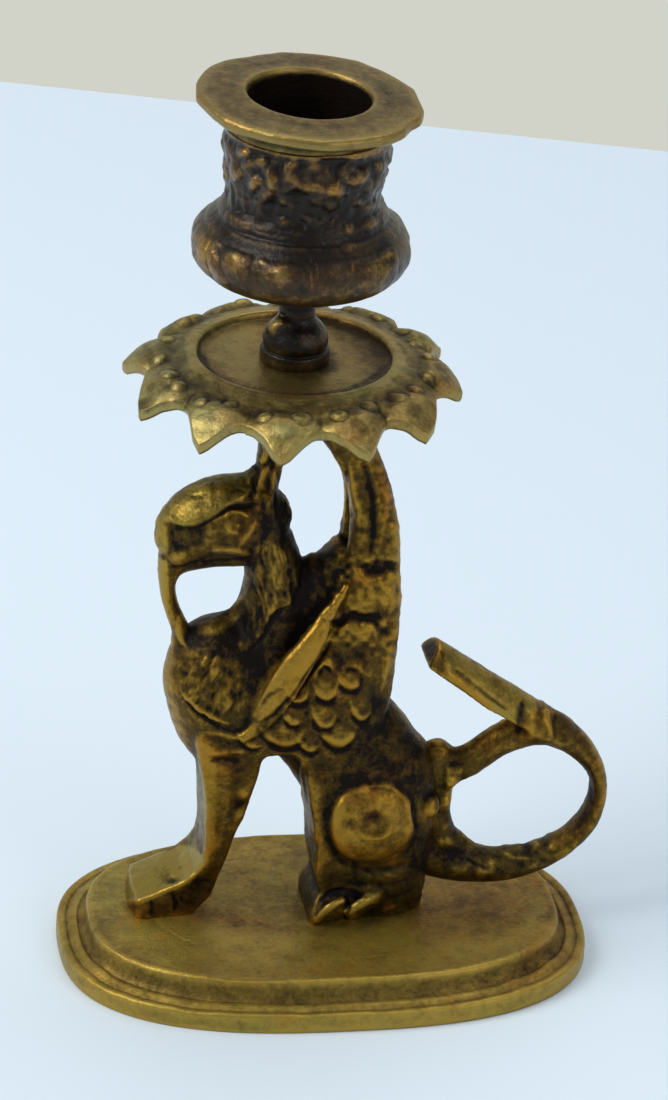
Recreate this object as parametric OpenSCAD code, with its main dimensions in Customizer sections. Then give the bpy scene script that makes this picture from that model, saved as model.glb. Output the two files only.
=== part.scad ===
// Figural brass candlestick: a seated griffin on an oval plinth carries a petalled drip pan
// and a candle cup on its head and wings; its tail makes a finger ring with a thumb rest.
// The head looks along -X, the tail runs along +X and +Z is up.

/* [Plinth] */
// Length of the plinth over its foot
plinth_length = 102; // [96:1:120]
// Depth of the plinth over its foot
plinth_depth = 64.5; // [60:0.5:76]
// Height of the platform above the table
plinth_height = 8; // [7:0.5:10]
// Width of the moulding all round the platform
moulding_width = 6.7; // [6:0.1:9]
// Height of the plain band round the foot
band_height = 3.8; // [3:0.1:4.5]
// Thickness of the cast metal of the plinth
plinth_wall = 2.6; // [2:0.1:3.4]
// Squareness of the oval, where 2 is an ellipse
plinth_squareness = 2.6; // [2.2:0.1:3.2]

/* [Griffin] */
// Height of the figure from the platform to the underside of the pan
figure_height = 114.5; // [105:0.5:125]
// Distance of the candle's axis from the plinth's centre, towards the head
axis_forward = 11.8; // [10:0.1:14]
// Radius of the round pad that carries the pan
pad_radius = 8.5; // [7:0.1:11]
// Thickness of that pad
pad_thickness = 4; // [3:0.1:6]

/* [Tail] */
// How far the finger ring reaches past the plinth's edge
tail_overhang = 2.9; // [1:0.1:6]
// Width of the thumb rest
thumb_width = 9.6; // [8:0.1:12]

/* [Drip pan] */
// Number of petals round the pan
petals = 12; // [8:1:16]
// Radius of the pan at the tips of its petals
petal_tip_radius = 31.2; // [29:0.1:35]
// Radius of the pan in the valleys between petals
petal_valley_radius = 27; // [25:0.1:28]
// Radius of the sunk floor of the pan
pan_floor_radius = 17.6; // [15:0.1:19]
// Thickness of the pan
pan_thickness = 2; // [1.6:0.1:3]
// How far the petal tips hang below the floor
petal_droop = 4.6; // [3:0.1:7]
// Turn of the pan, so that a petal points at the viewer
pan_turn = -11.5; // [-15:0.5:15]

/* [Collar] */
// Radius of the collar at its foot
collar_radius = 6.2; // [5.5:0.1:8]
// Height of the collar
collar_height = 9; // [7:0.1:12]

/* [Candle cup] */
// Largest radius of the cup, at its lobed belly
belly_radius = 19.6; // [18.5:0.1:22]
// Radius of the ornamented neck of the cup
neck_radius = 15.3; // [15:0.1:17]
// Height of the cup from its stem to its lip
cup_height = 36.3; // [34:0.1:42]
// Number of lobes round the belly
lobes = 12; // [8:1:18]
// Height of the lobes above the belly
lobe_rise = 0.7; // [0.3:0.1:1]
// Thickness of the cup's floor under the socket
cup_floor = 10.5; // [9.5:0.1:12]

/* [Nozzle] */
// Radius of the bore that takes the candle
candle_radius = 11; // [9.5:0.1:11.5]
// Wall of the nozzle's tube
tube_wall = 1; // [0.8:0.1:1.4]
// Length of the candle bore
bore_length = 26; // [20:0.5:27]
// Radius of the nozzle's flange
flange_radius = 19.7; // [18:0.1:22]
// Thickness of the flange
flange_thickness = 1.9; // [1.5:0.1:2.5]
// Height of the sloping shoulder under the flange
shoulder_height = 3.6; // [3:0.1:5]
// Clearance of the tube in the cup's socket, all round
socket_clearance = 0.25; // [0.1:0.05:0.5]

/* [Fixings] */
// Radius of the threaded stud through cup, collar and pan
stud_radius = 2; // [1.5:0.1:2.5]
// Clearance of stud and screws in their holes, all round
hole_clearance = 0.2; // [0.1:0.05:0.4]
// Height of the nut on the stud
nut_height = 3.2; // [2.4:0.1:4]
// Width of the nut across its flats
nut_flats = 7; // [6:0.1:8]
// Depth that the stud reaches into the figure
stud_depth = 8; // [6:0.5:9]
// Depth that the screws reach into the feet
screw_depth = 5.4; // [4:0.2:6]
// Radius of the screws under the feet
screw_radius = 2; // [1.5:0.1:2.2]
// Radius of the screw heads
screw_head_radius = 3.6; // [3:0.1:4]
// Height of the screw heads
screw_head_height = 2; // [1.6:0.1:2.4]
// Radius of the washers under the screw heads
washer_radius = 4.5; // [4:0.1:5]
// Thickness of the washers
washer_thickness = 0.8; // [0.5:0.1:1]

/* [Hidden] */

// The origin is the middle of the whole length, at table level.
origin_shift = -tail_overhang / 2;

// Heights above the table, from the bottom up.
pad_top = plinth_height + figure_height;
floor_top = pad_top + pan_thickness;
stem_bottom = floor_top + collar_height;
cup_lip = stem_bottom + cup_height;
socket_floor = stem_bottom + cup_floor;
flange_bottom = cup_lip + shoulder_height;
nozzle_top = flange_bottom + flange_thickness;
nozzle_bottom = nozzle_top - bore_length;

tube_radius = candle_radius + tube_wall;
socket_radius = tube_radius + socket_clearance;
stud_hole = stud_radius + hole_clearance;
screw_hole = screw_radius + hole_clearance;

// The fore paw is cast off the centre line. Screws stand under its middle and under the hind
// quarters.
paw_offset = 4.7;
screw_places = [[-28, paw_offset], [7, 0]];
hollow_ceiling = plinth_height - plinth_wall;
slot_width = 1;
slot_depth = 0.8;

function mix(a, b, t) = a + (b - a) * t;

// A smooth curve through stations of any number of values, as a list of stations.
function catmull(a, b, c, d, t) =
    (2 * b + (c - a) * t + (2 * a - 5 * b + 4 * c - d) * t * t
    + (3 * b - a - 3 * c + d) * t * t * t) / 2;
function smooth(s, n) = [
    for (i = [0 : len(s) - 2], k = [0 : n - 1])
        catmull(s[max(i - 1, 0)], s[i], s[i + 1], s[min(i + 2, len(s) - 1)], k / n),
    s[len(s) - 1]
];
function unit(v) = v / norm(v);
function place_of(s) = [s[0], s[1], s[2]];

// A ring of points round one station [x, y, z, half thickness, half width].
function section(s, along, sides) =
    let (across = unit(cross([0, 1, 0], along)), wide = unit(cross(along, across)))
    [for (j = [0 : sides - 1])
        let (a = 360 * j / sides)
        place_of(s) + across * s[3] * cos(a) + wide * s[4] * sin(a)];

// Side faces and two end caps of a tube made of rings of points.
function tube_faces(rings, sides) = concat(
    [for (i = [0 : rings - 2], j = [0 : sides - 1])
        let (k = (j + 1) % sides)
        [i * sides + j, i * sides + k, (i + 1) * sides + k, (i + 1) * sides + j]],
    [[for (j = [sides - 1 : -1 : 0]) j]],
    [[for (j = [0 : sides - 1]) (rings - 1) * sides + j]]
);

// A limb swells and tapers along its stations and is closed at both ends.
module limb(stations, sides = 12, steps = 2) {
    line = smooth(stations, steps);
    last = len(line) - 1;
    rings = [for (i = [0 : last])
        section(line[i], unit(place_of(line[min(i + 1, last)]) - place_of(line[max(i - 1, 0)])), sides)];
    points = [for (ring = rings, p = ring) p];
    polyhedron(points, [for (f = tube_faces(last + 1, sides)) [for (k = [len(f) - 1 : -1 : 0]) f[k]]],
        convexity = 6);
}

// A limb that is half round above its stations and flat below them.
module half_limb(stations, sides = 10) {
    line = smooth(stations, 2);
    last = len(line) - 1;
    rings = [for (i = [0 : last])
        let (
            s = line[i],
            along = unit(place_of(line[min(i + 1, last)]) - place_of(line[max(i - 1, 0)])),
            across = unit(cross([0, 1, 0], along)),
            turn = across[2] < 0 ? -1 : 1
        )
        [for (j = [0 : sides - 1])
            let (a = 180 * j / (sides - 1))
            place_of(s) + across * turn * s[3] * sin(a) - [0, 1, 0] * turn * s[4] * cos(a)]];
    points = [for (ring = rings, p = ring) p];
    polyhedron(points, [for (f = tube_faces(last + 1, sides)) [for (k = [len(f) - 1 : -1 : 0]) f[k]]],
        convexity = 6);
}

// The same limb on both flanks.
module pair(stations, sides = 10, steps = 2) {
    limb(stations, sides, steps);
    mirror([0, 1, 0]) limb(stations, sides, steps);
}

module pebble(at, size, facets = 10) {
    translate(at) scale(size) sphere(r = 1, $fn = facets);
}

// A blend between two pebbles.
module link(a, size_a, b, size_b, facets = 8) {
    hull() {
        pebble(a, size_a, facets);
        pebble(b, size_b, facets);
    }
}

module both_flanks() {
    children();
    mirror([0, 1, 0]) children();
}

module on_axis(height) {
    translate([origin_shift - axis_forward, 0, height]) children();
}

module at_screws(height) {
    for (place = screw_places)
        translate([place[0] + origin_shift, place[1], height]) children();
}

// A level of a slab: [height, front, rear, near and far side at the front, and at the rear],
// with its four corners rounded off.
corner_turns = [22.5, 45, 67.5];
function rounded(corner, from, to, r) =
    let (a = unit(from - corner), b = unit(to - corner))
    [for (t = corner_turns) corner + a * r * (1 - sin(t)) + b * r * (1 - cos(t))];
function slab_ring(s, r) =
    let (
        corners = [[s[1], s[3]], [s[2], s[5]], [s[2], s[6]], [s[1], s[4]]],
        reach = min(r, (s[6] - s[5]) * 0.45)
    )
    [for (i = [0 : 3], p = rounded(corners[i], corners[(i + 3) % 4], corners[(i + 1) % 4], reach))
        [p[0], p[1], s[0]]];

// A slab that stands on the platform, lofted through its levels from the ground up.
module slab(levels, corner = 2.2) {
    points = [for (s = levels, p = slab_ring(s, corner)) p];
    sides = 4 * len(corner_turns);
    polyhedron(points, [for (f = tube_faces(len(levels), sides)) [for (k = [len(f) - 1 : -1 : 0]) f[k]]],
        convexity = 6);
}

// The plinth is an oval moulding: each level is the foot's outline drawn in by the same margin.
plinth_sides = 52;
function oval(inset, height) = [
    for (j = [0 : plinth_sides - 1])
        let (a = 360 * j / plinth_sides, p = 2 / plinth_squareness)
        [(plinth_length / 2 - inset) * sign(cos(a)) * pow(abs(cos(a)), p) + origin_shift,
            (plinth_depth / 2 - inset) * sign(sin(a)) * pow(abs(sin(a)), p), height]
];

// Insets and heights up the moulding, then down inside the hollow.
lip_height = plinth_height - 0.9;
riser_foot = band_height + 0.9;
moulding = [
    [0.4, 0], [0, 0.5], [0, band_height - 0.6], [0.5, band_height],
    [moulding_width * 0.42, band_height + 0.1], [moulding_width * 0.48, band_height - 0.4],
    [moulding_width * 0.56, riser_foot], [moulding_width * 0.7, riser_foot + 0.6],
    [moulding_width * 0.84, riser_foot + 0.4], [moulding_width * 0.86, lip_height],
    [moulding_width * 0.92, plinth_height - 0.2], [moulding_width + 0.4, plinth_height]
];
hollow = [
    [moulding_width + plinth_wall, hollow_ceiling],
    [moulding_width * 0.5 + plinth_wall, band_height - 1],
    [plinth_wall, band_height - 1.6], [plinth_wall, 0]
];

module plinth_shell() {
    profile = concat(moulding, hollow);
    levels = len(profile);
    top = len(moulding) - 1;
    points = [for (level = profile, p = oval(level[0], level[1])) p];
    sides = [for (i = [0 : levels - 1], j = [0 : plinth_sides - 1])
        let (n = (i + 1) % levels, k = (j + 1) % plinth_sides)
        if (i != top) [i * plinth_sides + j, n * plinth_sides + j,
            n * plinth_sides + k, i * plinth_sides + k]];
    platform = [for (j = [plinth_sides - 1 : -1 : 0]) top * plinth_sides + j];
    ceiling = [for (j = [0 : plinth_sides - 1]) (top + 1) * plinth_sides + j];
    polyhedron(points, concat(sides, [platform, ceiling]), convexity = 6);
}

module plinth() {
    color("peru")
    difference() {
        plinth_shell();
        at_screws(hollow_ceiling - 1)
            cylinder(r = screw_hole, h = plinth_wall + 2, $fn = 32);
    }
}

// Stations are written for a figure of the height below and stretch with the real one.
drawn_height = 114.5;
module figure_frame() {
    translate([origin_shift, 0, plinth_height])
        scale([1, 1, figure_height / drawn_height]) translate([0, 0, -8]) children();
}

// Trunk from the rump over the back to the breast.
module trunk() {
    limb([[11, 0, 8, 8, 4.8], [10.5, 0, 17, 9.5, 7.6], [9.8, 0, 27, 10.5, 9.2], [6.4, 0, 38, 12.2, 9.6],
        [-2.4, 0, 50, 11.2, 9.4], [-13, 0, 56.4, 10.6, 9.8], [-21, 0, 58, 10.3, 9],
        [-26.6, 0, 59.5, 6, 6.4]], 14);
    // Breast, the front wall of the trunk.
    limb([[-20.5, 0, 46, 7, 7.5], [-21, 0, 51, 9.8, 9], [-21.5, 0, 57.5, 11.2, 9.6],
        [-22, 0, 63.5, 10.6, 8.4], [-22.6, 0, 67.6, 8.4, 6], [-22.6, 0, 70, 4, 3]], 14);
    // Rump, over the root of the tail.
    pebble([12.8, 0, 37.2], [7.4, 6.6, 7.8], 12);
    // Flat belly between the legs.
    slab([[45, -17, -6, -7.4, 7.4, -7.4, 7.4], [50, -17, -3, -9, 9, -9, 9], [55, -17, -3, -8, 8, -8, 8]]);
}

// The open space behind the fore legs has a flat top and an upright front of the hind legs.
module between_legs() {
    rotate([90, 0, 0])
        linear_extrude(40, center = true)
            polygon([[-13.4, 45.4], [-7.6, 45.9], [-6, 44.7], [-5.1, 37], [-3.8, 30.4], [-12, 30]]);
}

module neck_and_head() {
    limb([[-15, 0, 58, 9, 8.6], [-13.4, 0, 67, 7.6, 7.6], [-12.6, 0, 75, 6.6, 6.6],
        [-13.6, 0, 84, 5.4, 6], [-15.4, 0, 91, 5.4, 6.2], [-18, 0, 96, 4.4, 5]]);
    // Skull, from the nape to the root of the bill.
    limb([[-11.8, 0, 93, 1.4, 1.4], [-15, 0, 93.2, 5.8, 5.6], [-21, 0, 92.6, 7.8, 7.2],
        [-26.4, 0, 91.8, 7.2, 6.8], [-30.8, 0, 89.8, 5.2, 4.8], [-33.6, 0, 88.2, 2, 2.2]], 14);
    // Upper bill, hooked down until its tip meets the breast.
    limb([[-25, 0, 89, 5, 5], [-29.8, 0, 87, 4.4, 4.4], [-32.4, 0, 83.4, 2.6, 3.2],
        [-33.1, 0, 79, 1.5, 2.4], [-32.3, 0, 74.8, 1.4, 2], [-30.6, 0, 70.5, 1.6, 2.1],
        [-29, 0, 66, 2, 2.2]], 10);
    // Lower bill and throat.
    limb([[-15, 0, 86.5, 2, 3.5], [-19.5, 0, 86, 3, 4.2], [-25, 0, 85.4, 2.6, 3.4],
        [-30.5, 0, 83.6, 1.8, 2.2]], 10);
    // Eye, brow and cheek tuft.
    both_flanks() {
        pebble([-23, -5.9, 93], [2.3, 1.5, 1.8]);
        link([-29, -4.6, 95], [1.8, 1.6, 1.3], [-20, -6.2, 96.4], [2.2, 1.4, 1.2]);
        link([-13.6, -5, 88], [1.8, 1.6, 3.4], [-13.4, -4.4, 96], [1.2, 1.4, 2]);
    }
}

// The crest rises from the crown and spreads under the pan.
module crest() {
    limb([[-19, 0, 94, 4.2, 4.4], [-16.4, 0, 99.5, 3.1, 3.4], [-15.2, 0, 104, 2.4, 2.8],
        [-15.1, 0, 109, 2.5, 3.6], [-14.8, 0, 114.5, 4, 5.2], [-13.4, 0, 119.5, 6.4, 6.4]], 12);
}

module wings() {
    pair([[-5, 5.4, 50, 8, 3.4], [-2.5, 6, 56, 11, 4], [0.6, 5.8, 65, 9.4, 4], [3.2, 5, 75, 6.7, 3.7],
        [3.8, 4.2, 85, 5.6, 3.4], [3.6, 3.6, 94, 4.6, 3.2], [2.2, 3.2, 101, 4, 3.1], [-0.6, 3, 108, 3.9, 3],
        [-4.8, 2.8, 114.5, 4.4, 3], [-9, 2.2, 119.6, 4.4, 3]]);
    // Mantle between the neck and the wing roots.
    limb([[-8, 0, 58, 9, 8.4], [-7.4, 0, 67, 6.6, 6.6], [-6.6, 0, 75, 4.4, 5], [-6.2, 0, 80.4, 2.6, 3.6],
        [-6.2, 0, 83.4, 1, 1.6]]);
    // Leading edge, a bright ridge that sweeps up from the breast.
    pair([[-17.5, -8, 48.5, 0.8, 0.9], [-14.6, -8.9, 53, 2.3, 1.5], [-11, -9.5, 60, 2.6, 1.6],
        [-7, -9.4, 68, 2.2, 1.5], [-3.4, -8.4, 76, 1.6, 1.4], [-0.6, -7, 82.6, 0.8, 1]], 6);
}

// Rows of rounded scale feathers overlap down each flank behind the leading edge.
scale_rows = 3;
scales_in_row = 3;
module scale_feathers() {
    both_flanks()
        for (row = [0 : scale_rows - 1], k = [0 : scales_in_row - 1])
            let (x = -9.5 + k * 4.6 + row * 1.6, z = 63 - row * 4.6 + k * 1.2)
            link([x, -8.2, z + 2.4], [1.3, 0.8, 0.8], [x - 0.4, -9.2, z - 0.6], [2.1, 1, 1.7]);
}

// Both fore legs are cast as one slab that runs out into a single wide paw.
module fore_legs() {
    y = paw_offset;
    slab([[8, -36.6, -25, y - 7.6, y + 7.5, y - 5.3, y + 7.3],
        [9.7, -36.5, -23.6, y - 7.6, y + 7.6, y - 5.5, y + 7.5],
        [11.4, -36.1, -22, y - 7.5, y + 7.6, y - 5.7, y + 7.5],
        [13.1, -32.1, -21.5, y - 7.2, y + 7.8, y - 6.1, y + 7.6],
        [15.8, -27.9, -20.9, y - 7.3, y + 7.3, y - 6.9, y + 7.3],
        [18.1, -25.8, -20.4, -3.2, 11.2, -3.2, 11.2],
        [21.1, -24.6, -19.8, -4.2, 10.2, -4.2, 10.2], [25, -24.3, -19, -5, 9.4, -5, 9.4],
        [31.7, -24.8, -17.2, -6.3, 8.8, -6.3, 8.8], [38.9, -25.8, -15.5, -7.6, 8.6, -7.6, 8.6],
        [44, -27, -14.9, -8.6, 8.8, -8.4, 8.6], [50, -28, -13, -9.2, 9.2, -9, 9],
        [56, -26, -13, -8, 8, -8, 8]], 3);
}

module hind_legs() {
    // Haunch, a round boss with a sunk middle.
    both_flanks()
        difference() {
            pebble([6.4, -8, 31.4], [8.6, 3.9, 8.8], 16);
            pebble([5.9, -12.6, 33.4], [2.6, 1.6, 2.6], 12);
        }
    // Both hind legs and their paws, cast as one slab under the haunches.
    slab([[8, -3.8, 17, -8.7, 8.7, -3, 3], [10.4, -3.7, 17.4, -8.8, 8.8, -3.6, 3.6],
        [12.6, -3, 17.6, -8.4, 8.4, -4.4, 4.4], [14.8, -1.8, 17.6, -7.4, 7.4, -5, 5],
        [17, -2.6, 17.6, -7.8, 7.8, -5.2, 5.2], [20, -3.2, 17, -8.6, 8.6, -6, 6],
        [26, -3.4, 16, -9.2, 9.2, -7, 7], [31, -4.2, 15, -9.4, 9.4, -7, 7],
        [37, -5.4, 12, -9.4, 9.4, -7, 7], [43, -6.4, 8, -9.4, 9.4, -7, 7],
        [47, -9, 4, -8.6, 8.6, -7, 7]], 2.6);
    // Claws on the near toes.
    both_flanks() {
        link([-2.2, -8.6, 10], [0.9, 0.7, 1.2], [1.6, -8, 14], [1.3, 0.8, 0.9], 6);
        link([3.6, -8.4, 11.6], [1, 0.7, 1], [9.4, -6.4, 14], [1.5, 0.9, 1], 6);
    }
}

// Flat on the rump that the tail is brazed to.
braze_face = origin_shift + 19.2;
module pad() {
    translate([-axis_forward, 0, 8 + drawn_height - pad_thickness])
        cylinder(r1 = pad_radius - 1.4, r2 = pad_radius, h = pad_thickness, $fn = 40);
}

module griffin() {
    color("darkgoldenrod")
    difference() {
        figure_frame() {
            trunk();
            neck_and_head();
            crest();
            wings();
            scale_feathers();
            fore_legs();
            hind_legs();
            pad();
        }
        figure_frame() between_legs();
        // The feet stand flat on the platform and the pad is faced flat under the pan.
        translate([-60, -30, plinth_height - 20]) cube([120, 60, 20]);
        translate([-60, -30, pad_top]) cube([120, 60, 20]);
        translate([braze_face, -20, 0]) cube([20, 40, plinth_height + 40]);
        on_axis(pad_top - stud_depth) cylinder(r = stud_radius, h = stud_depth + 1, $fn = 32);
        at_screws(plinth_height - 1)
            cylinder(r = screw_radius, h = screw_depth + 1, $fn = 32);
    }
}

// Reach of the ring's outer edge, from the plinth's centre.
ring_reach = plinth_length / 2 + tail_overhang;
module tail_form() {
    translate([origin_shift, 0, 0]) {
        // Tail from its root along the platform and up round the finger.
        limb([[18.4, 0, 19, 4.2, 3.4], [24, 0, 17, 4, 3.4], [29, 0, 16, 3.6, 3.4], [35, 0, 15.8, 3.4, 3.4],
            [41.5, 0, 17.4, 2.8, 3.4], [47, 0, 20.6, 2.3, 3.4], [ring_reach - 3.1, 0, 25.4, 1.9, 3.3],
            [ring_reach - 1.7, 0, 31.4, 1.7, 3.3], [ring_reach - 2.8, 0, 37, 1.8, 3.3],
            [47, 0, 42.3, 2.5, 3.5], [42.6, 0, 45.3, 3.2, 3.9], [38, 0, 47.4, 3.3, 4.2]], 10);
        // Thumb rest, half round above and flat below.
        half_limb([[41.5, 0, 44.6, 4.5, thumb_width / 2 - 0.8], [34.4, 0, 48.6, 5.4, thumb_width / 2],
            [26.6, 0, 54.2, 5, thumb_width / 2 + 0.1], [16, 0, 62.2, 4.4, thumb_width / 2]]);
        // Strut from the rump to the thumb rest.
        limb([[17.6, 0, 37.6, 5.4, 3.2], [21.5, 0, 37.8, 4, 3], [26.5, 0, 39.3, 3.2, 2.8],
            [32, 0, 43.4, 3.2, 3], [38.5, 0, 46, 3.2, 3.6]], 10, 1);
        // Post against the rump, which closes the ring.
        limb([[20.2, 0, 41, 2.8, 3], [20.7, 0, 34, 2.9, 2.8], [20.9, 0, 28.4, 2.7, 2.8],
            [22.1, 0, 23, 3.4, 3], [26.2, 0, 18.2, 3.4, 3]], 10, 1);
    }
}

// The casting is faced flat where it is brazed to the rump.
module tail_loop() {
    color("goldenrod")
    difference() {
        tail_form();
        translate([braze_face - 20, -10, 0]) cube([20, 20, 80]);
    }
}

// The pan is a shallow dish with a raised bead round its floor and drooping pointed petals.
petal_steps = 8;
pan_sides = petals * petal_steps;
function petal_at(j) = abs((j % petal_steps) / petal_steps * 2 - 1);
function pan_edge(j) = mix(petal_valley_radius, petal_tip_radius, pow(petal_at(j), 1.5));
// Share of the way from the bead to the edge, and height over the floor without the crown.
pan_reach = [0, 0.22, 0.45, 0.7, 0.88, 1];
pan_fall = [0.75, 0.3, 0.1, -0.16, -0.55, -1];
bead_radius = pan_floor_radius + 1.7;
function pan_height(i, j) =
    let (fall = pan_fall[i], tip = petal_at(j))
    fall > 0 ? fall * 1.6 : petal_droop * fall * mix(0.6, 1, tip) + 0.8 * tip * sin(180 * pan_reach[i]);
function pan_ring(radius, height) = [for (j = [0 : pan_sides - 1])
    [radius * cos(360 * j / pan_sides), radius * sin(360 * j / pan_sides), height]];
function petal_ring(i, drop, draw_in) = [for (j = [0 : pan_sides - 1])
    let (r = mix(bead_radius, pan_edge(j) - draw_in, pan_reach[i]))
    [r * cos(360 * j / pan_sides), r * sin(360 * j / pan_sides), pan_height(i, j) - drop]];

module pan_body() {
    rings = concat(
        [pan_ring(pan_floor_radius, 0), pan_ring(pan_floor_radius + 0.6, 1.1)],
        [for (i = [0 : len(pan_reach) - 1]) petal_ring(i, 0, 0)],
        [for (i = [len(pan_reach) - 1 : -1 : 2]) petal_ring(i, pan_thickness * 0.8, 0.5)],
        [pan_ring(pan_floor_radius + 1.5, -pan_thickness)]
    );
    last = len(rings) - 1;
    points = [for (ring = rings, p = ring) p];
    polyhedron(points, tube_faces(last + 1, pan_sides), convexity = 6);
}

module drip_pan() {
    color("olive")
    on_axis(floor_top)
        difference() {
            rotate([0, 0, pan_turn]) pan_body();
            translate([0, 0, -pan_thickness - 1])
                cylinder(r = stud_hole, h = pan_thickness + 2, $fn = 32);
        }
}

// A small bell with a plain band round its foot.
module collar() {
    color("saddlebrown")
    on_axis(floor_top)
        rotate_extrude($fn = 64)
            polygon([[stud_hole, 0], [collar_radius, 0], [collar_radius + 0.1, 0.5],
                [collar_radius, 2.3], [collar_radius - 0.5, 2.6], [collar_radius - 0.3, 3.4],
                [collar_radius - 0.5, collar_height * 0.55], [collar_radius - 1.3, collar_height * 0.72],
                [collar_radius - 2.4, collar_height * 0.85], [collar_radius - 2.8, collar_height],
                [stud_hole, collar_height]]);
}

// Radii and heights of the cup from its stem to its lip, and the share of lobes at each.
stem_radius = collar_radius - 2.9;
cup_profile = [
    [stem_radius, 0, 0], [stem_radius + 0.1, 3.6, 0], [stem_radius + 1.6, 5.4, 0],
    [belly_radius * 0.5, 6.6, 0.2], [belly_radius * 0.76, 7.6, 0.6], [belly_radius * 0.91, 9.2, 1],
    [belly_radius - 0.2, 11.6, 1], [belly_radius - 0.1, 13.8, 1], [belly_radius * 0.945, 16.4, 1],
    [belly_radius * 0.85, 18.6, 0.8], [neck_radius - 0.5, 20.2, 0.2], [neck_radius - 1.1, 21.6, 0],
    [neck_radius - 1.4, 23.8, 0], [neck_radius - 0.2, 28, 0],
    [neck_radius, 31, 0], [neck_radius - 0.6, 33.8, 0],
    [neck_radius - 0.3, 35, 0], [neck_radius - 0.3, 36.3, 0]
];
drawn_cup_height = 36.3;
cup_sides = lobes * 4;
function lobe_at(j) = abs(sin(180 * lobes * j / cup_sides));

module candle_cup() {
    color("dimgray")
    on_axis(stem_bottom)
        difference() {
            polyhedron(
                [for (s = cup_profile, j = [0 : cup_sides - 1])
                    let (r = s[0] - lobe_rise * s[2] * (1 - lobe_at(j)), a = 360 * j / cup_sides)
                    [r * cos(a), r * sin(a), s[1] * cup_height / drawn_cup_height]],
                [for (f = tube_faces(len(cup_profile), cup_sides)) [for (k = [len(f) - 1 : -1 : 0]) f[k]]],
                convexity = 6);
            translate([0, 0, cup_floor])
                cylinder(r = socket_radius, h = cup_height, $fn = 64);
            translate([0, 0, -1])
                cylinder(r = stud_hole, h = cup_floor + 2, $fn = 32);
        }
}

// The loose nozzle: a tube for the candle with a broad flange and a sloping shoulder.
shoulder_radius = neck_radius - 0.7;
module nozzle() {
    color("darkkhaki")
    on_axis(0)
        rotate_extrude($fn = 96)
            polygon([[candle_radius, nozzle_bottom], [tube_radius, nozzle_bottom],
                [tube_radius, cup_lip], [shoulder_radius, cup_lip],
                [shoulder_radius + 0.3, cup_lip + shoulder_height * 0.35],
                [shoulder_radius + 1.6, flange_bottom - 0.3],
                [shoulder_radius + 2.4, flange_bottom], [flange_radius - 0.5, flange_bottom + 0.3],
                [flange_radius, flange_bottom + flange_thickness * 0.5],
                [flange_radius - 0.4, nozzle_top], [candle_radius, nozzle_top]]);
}

module stud() {
    color("slategray")
    on_axis(pad_top - stud_depth)
        cylinder(r = stud_radius, h = stud_depth + socket_floor - pad_top + nut_height + 1, $fn = 32);
}

module stud_nut() {
    color("goldenrod")
    on_axis(socket_floor)
        difference() {
            cylinder(d = nut_flats / cos(30), h = nut_height, $fn = 6);
            translate([0, 0, -1]) cylinder(r = stud_radius, h = nut_height + 2, $fn = 32);
        }
}

// Cheese-head screws reach up from the hollow of the plinth into the feet.
module foot_screws() {
    color("slategray")
    at_screws(hollow_ceiling - washer_thickness)
        difference() {
            union() {
                cylinder(r = screw_radius, h = washer_thickness + plinth_wall + screw_depth - 0.5, $fn = 32);
                translate([0, 0, -screw_head_height])
                    cylinder(r = screw_head_radius, h = screw_head_height, $fn = 40);
            }
            translate([-screw_head_radius - 1, -slot_width / 2, -screw_head_height - 1])
                cube([2 * screw_head_radius + 2, slot_width, 1 + slot_depth]);
        }
}

module foot_washers() {
    color("silver")
    at_screws(hollow_ceiling - washer_thickness)
        difference() {
            cylinder(r = washer_radius, h = washer_thickness, $fn = 40);
            translate([0, 0, -1]) cylinder(r = screw_hole, h = washer_thickness + 2, $fn = 32);
        }
}

plinth();
griffin();
tail_loop();
drip_pan();
collar();
candle_cup();
nozzle();
stud();
stud_nut();
foot_screws();
foot_washers();
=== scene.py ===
"""Looks of the griffin candlestick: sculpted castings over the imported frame, aged brass, studio."""
import math

import bpy
import numpy as np
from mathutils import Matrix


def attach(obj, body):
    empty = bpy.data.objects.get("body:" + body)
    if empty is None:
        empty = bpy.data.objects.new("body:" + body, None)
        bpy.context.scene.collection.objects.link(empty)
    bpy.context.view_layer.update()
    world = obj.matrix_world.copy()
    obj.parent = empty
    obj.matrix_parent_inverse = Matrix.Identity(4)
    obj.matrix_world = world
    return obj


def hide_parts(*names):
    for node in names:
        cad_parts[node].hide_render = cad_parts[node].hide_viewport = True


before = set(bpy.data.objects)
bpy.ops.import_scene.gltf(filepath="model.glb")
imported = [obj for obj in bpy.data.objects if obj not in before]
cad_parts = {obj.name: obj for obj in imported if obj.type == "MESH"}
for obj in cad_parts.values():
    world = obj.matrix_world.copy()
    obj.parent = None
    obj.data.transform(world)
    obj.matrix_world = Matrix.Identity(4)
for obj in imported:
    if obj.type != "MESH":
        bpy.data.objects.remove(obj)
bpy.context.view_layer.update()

import openvdb
from mathutils import Matrix

# Lengths are in millimetres in the plinth's own frame, and become metres when a mesh is made.
SHIFT = -1.45
AXIS = -11.8
TURN = -11.5
PLATFORM, PAD_TOP, FLOOR_TOP, STEM, LIP, NOZZLE_TOP = 8.0, 122.5, 124.5, 133.5, 169.8, 175.3


# ---------------------------------------------------------------- numbers

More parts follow.
